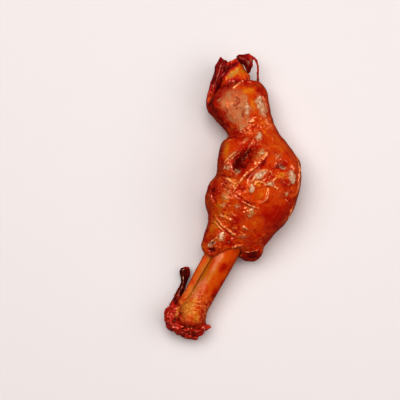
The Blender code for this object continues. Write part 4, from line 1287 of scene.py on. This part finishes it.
class TROTTER_OT_skin(bpy.types.Operator):
    """Make the glazed skin with its folds, pits and wrinkles"""

    bl_idname = "trotter.skin"
    bl_label = "Skin"

    def execute(self, context):
        make_skin(context.scene.trotter_skin)
        return {"FINISHED"}


class TROTTER_OT_bone(bpy.types.Operator):
    """Make the stained cannon bone"""

    bl_idname = "trotter.bone"
    bl_label = "Bone"

    def execute(self, context):
        make_bone(context.scene.trotter_bone)
        return {"FINISHED"}


class TROTTER_OT_gristle(bpy.types.Operator):
    """Make the gristle round the knuckle"""

    bl_idname = "trotter.gristle"
    bl_label = "Gristle"

    def execute(self, context):
        make_gristle(context.scene.trotter_gristle)
        return {"FINISHED"}


class TROTTER_OT_toes(bpy.types.Operator):
    """Make the two toe ends and the pad between them"""

    bl_idname = "trotter.toes"
    bl_label = "Toes"

    def execute(self, context):
        settings = context.scene.trotter_toes
        make_toe("long-toe", "long_toe", "dark_toe", settings, stretch=(0.7, 4.0, 1.5),
                 pulls=LONG_TOE_PULLS, strokes=LONG_TOE_STROKES, tone=-1.8, tones=LONG_TOE_TONES, dry_and_highlight=())
        make_toe("short-toe", "short_toe", "dark_toe", settings, stretch=(1.2, 1.2, 1.2),
                 pulls=SHORT_TOE_PULLS, strokes=(), tone=-1.9, tones=SHORT_TOE_TONES, dry_and_highlight=SHORT_TOE_DRY_AND_GLINT)
        make_toe("toe-pad", "toe_pad", "toe_pad", settings, stretch=(1.5, 2.0, 1.5),
                 pulls=(), strokes=PAD_STROKES, tone=0.9, tones=PAD_TONES_SHADE_AND_HIGHLIGHT, dry_and_highlight=PAD_DRY_AND_HIGHLIGHT)
        return {"FINISHED"}


class TROTTER_OT_stage(bpy.types.Operator):
    """Make the pale floor, the soft light and the camera"""

    bl_idname = "trotter.stage"
    bl_label = "Stage"

    def execute(self, context):
        settings = context.scene.trotter_stage
        make_floor(settings)
        make_lights(settings)
        make_camera(settings)
        return {"FINISHED"}


OPERATORS = (TROTTER_OT_skin, TROTTER_OT_bone, TROTTER_OT_gristle, TROTTER_OT_toes, TROTTER_OT_stage)
SETTINGS = {
    "trotter_skin": SkinSettings,
    "trotter_bone": BoneSettings,
    "trotter_gristle": GristleSettings,
    "trotter_toes": ToeSettings,
    "trotter_stage": StageSettings,
}


class TROTTER_PT_panel(bpy.types.Panel):
    """The pieces of the trotter and what can be changed about them"""

    bl_label = "Braised Lamb Trotter"
    bl_idname = "TROTTER_PT_panel"
    bl_space_type = "VIEW_3D"
    bl_region_type = "UI"
    bl_category = "Trotter"

    def draw(self, context):
        for operator, (name, group) in zip(OPERATORS, SETTINGS.items()):
            box = self.layout.box()
            box.operator(operator.bl_idname)
            for key in group.__annotations__:
                box.prop(getattr(context.scene, name), key)


def register():
    for group in SETTINGS.values():
        bpy.utils.register_class(group)
    for name, group in SETTINGS.items():
        setattr(bpy.types.Scene, name, PointerProperty(type=group))
    for operator in (*OPERATORS, TROTTER_PT_panel):
        bpy.utils.register_class(operator)


def unregister():
    for operator in reversed((*OPERATORS, TROTTER_PT_panel)):
        bpy.utils.unregister_class(operator)
    for name in SETTINGS:
        delattr(bpy.types.Scene, name)
    for group in reversed(SETTINGS.values()):
        bpy.utils.unregister_class(group)


def main():
    register()
    bpy.ops.trotter.skin()
    bpy.ops.trotter.bone()
    bpy.ops.trotter.gristle()
    bpy.ops.trotter.toes()
    bpy.ops.trotter.stage()


if __name__ == "__main__":
    main()
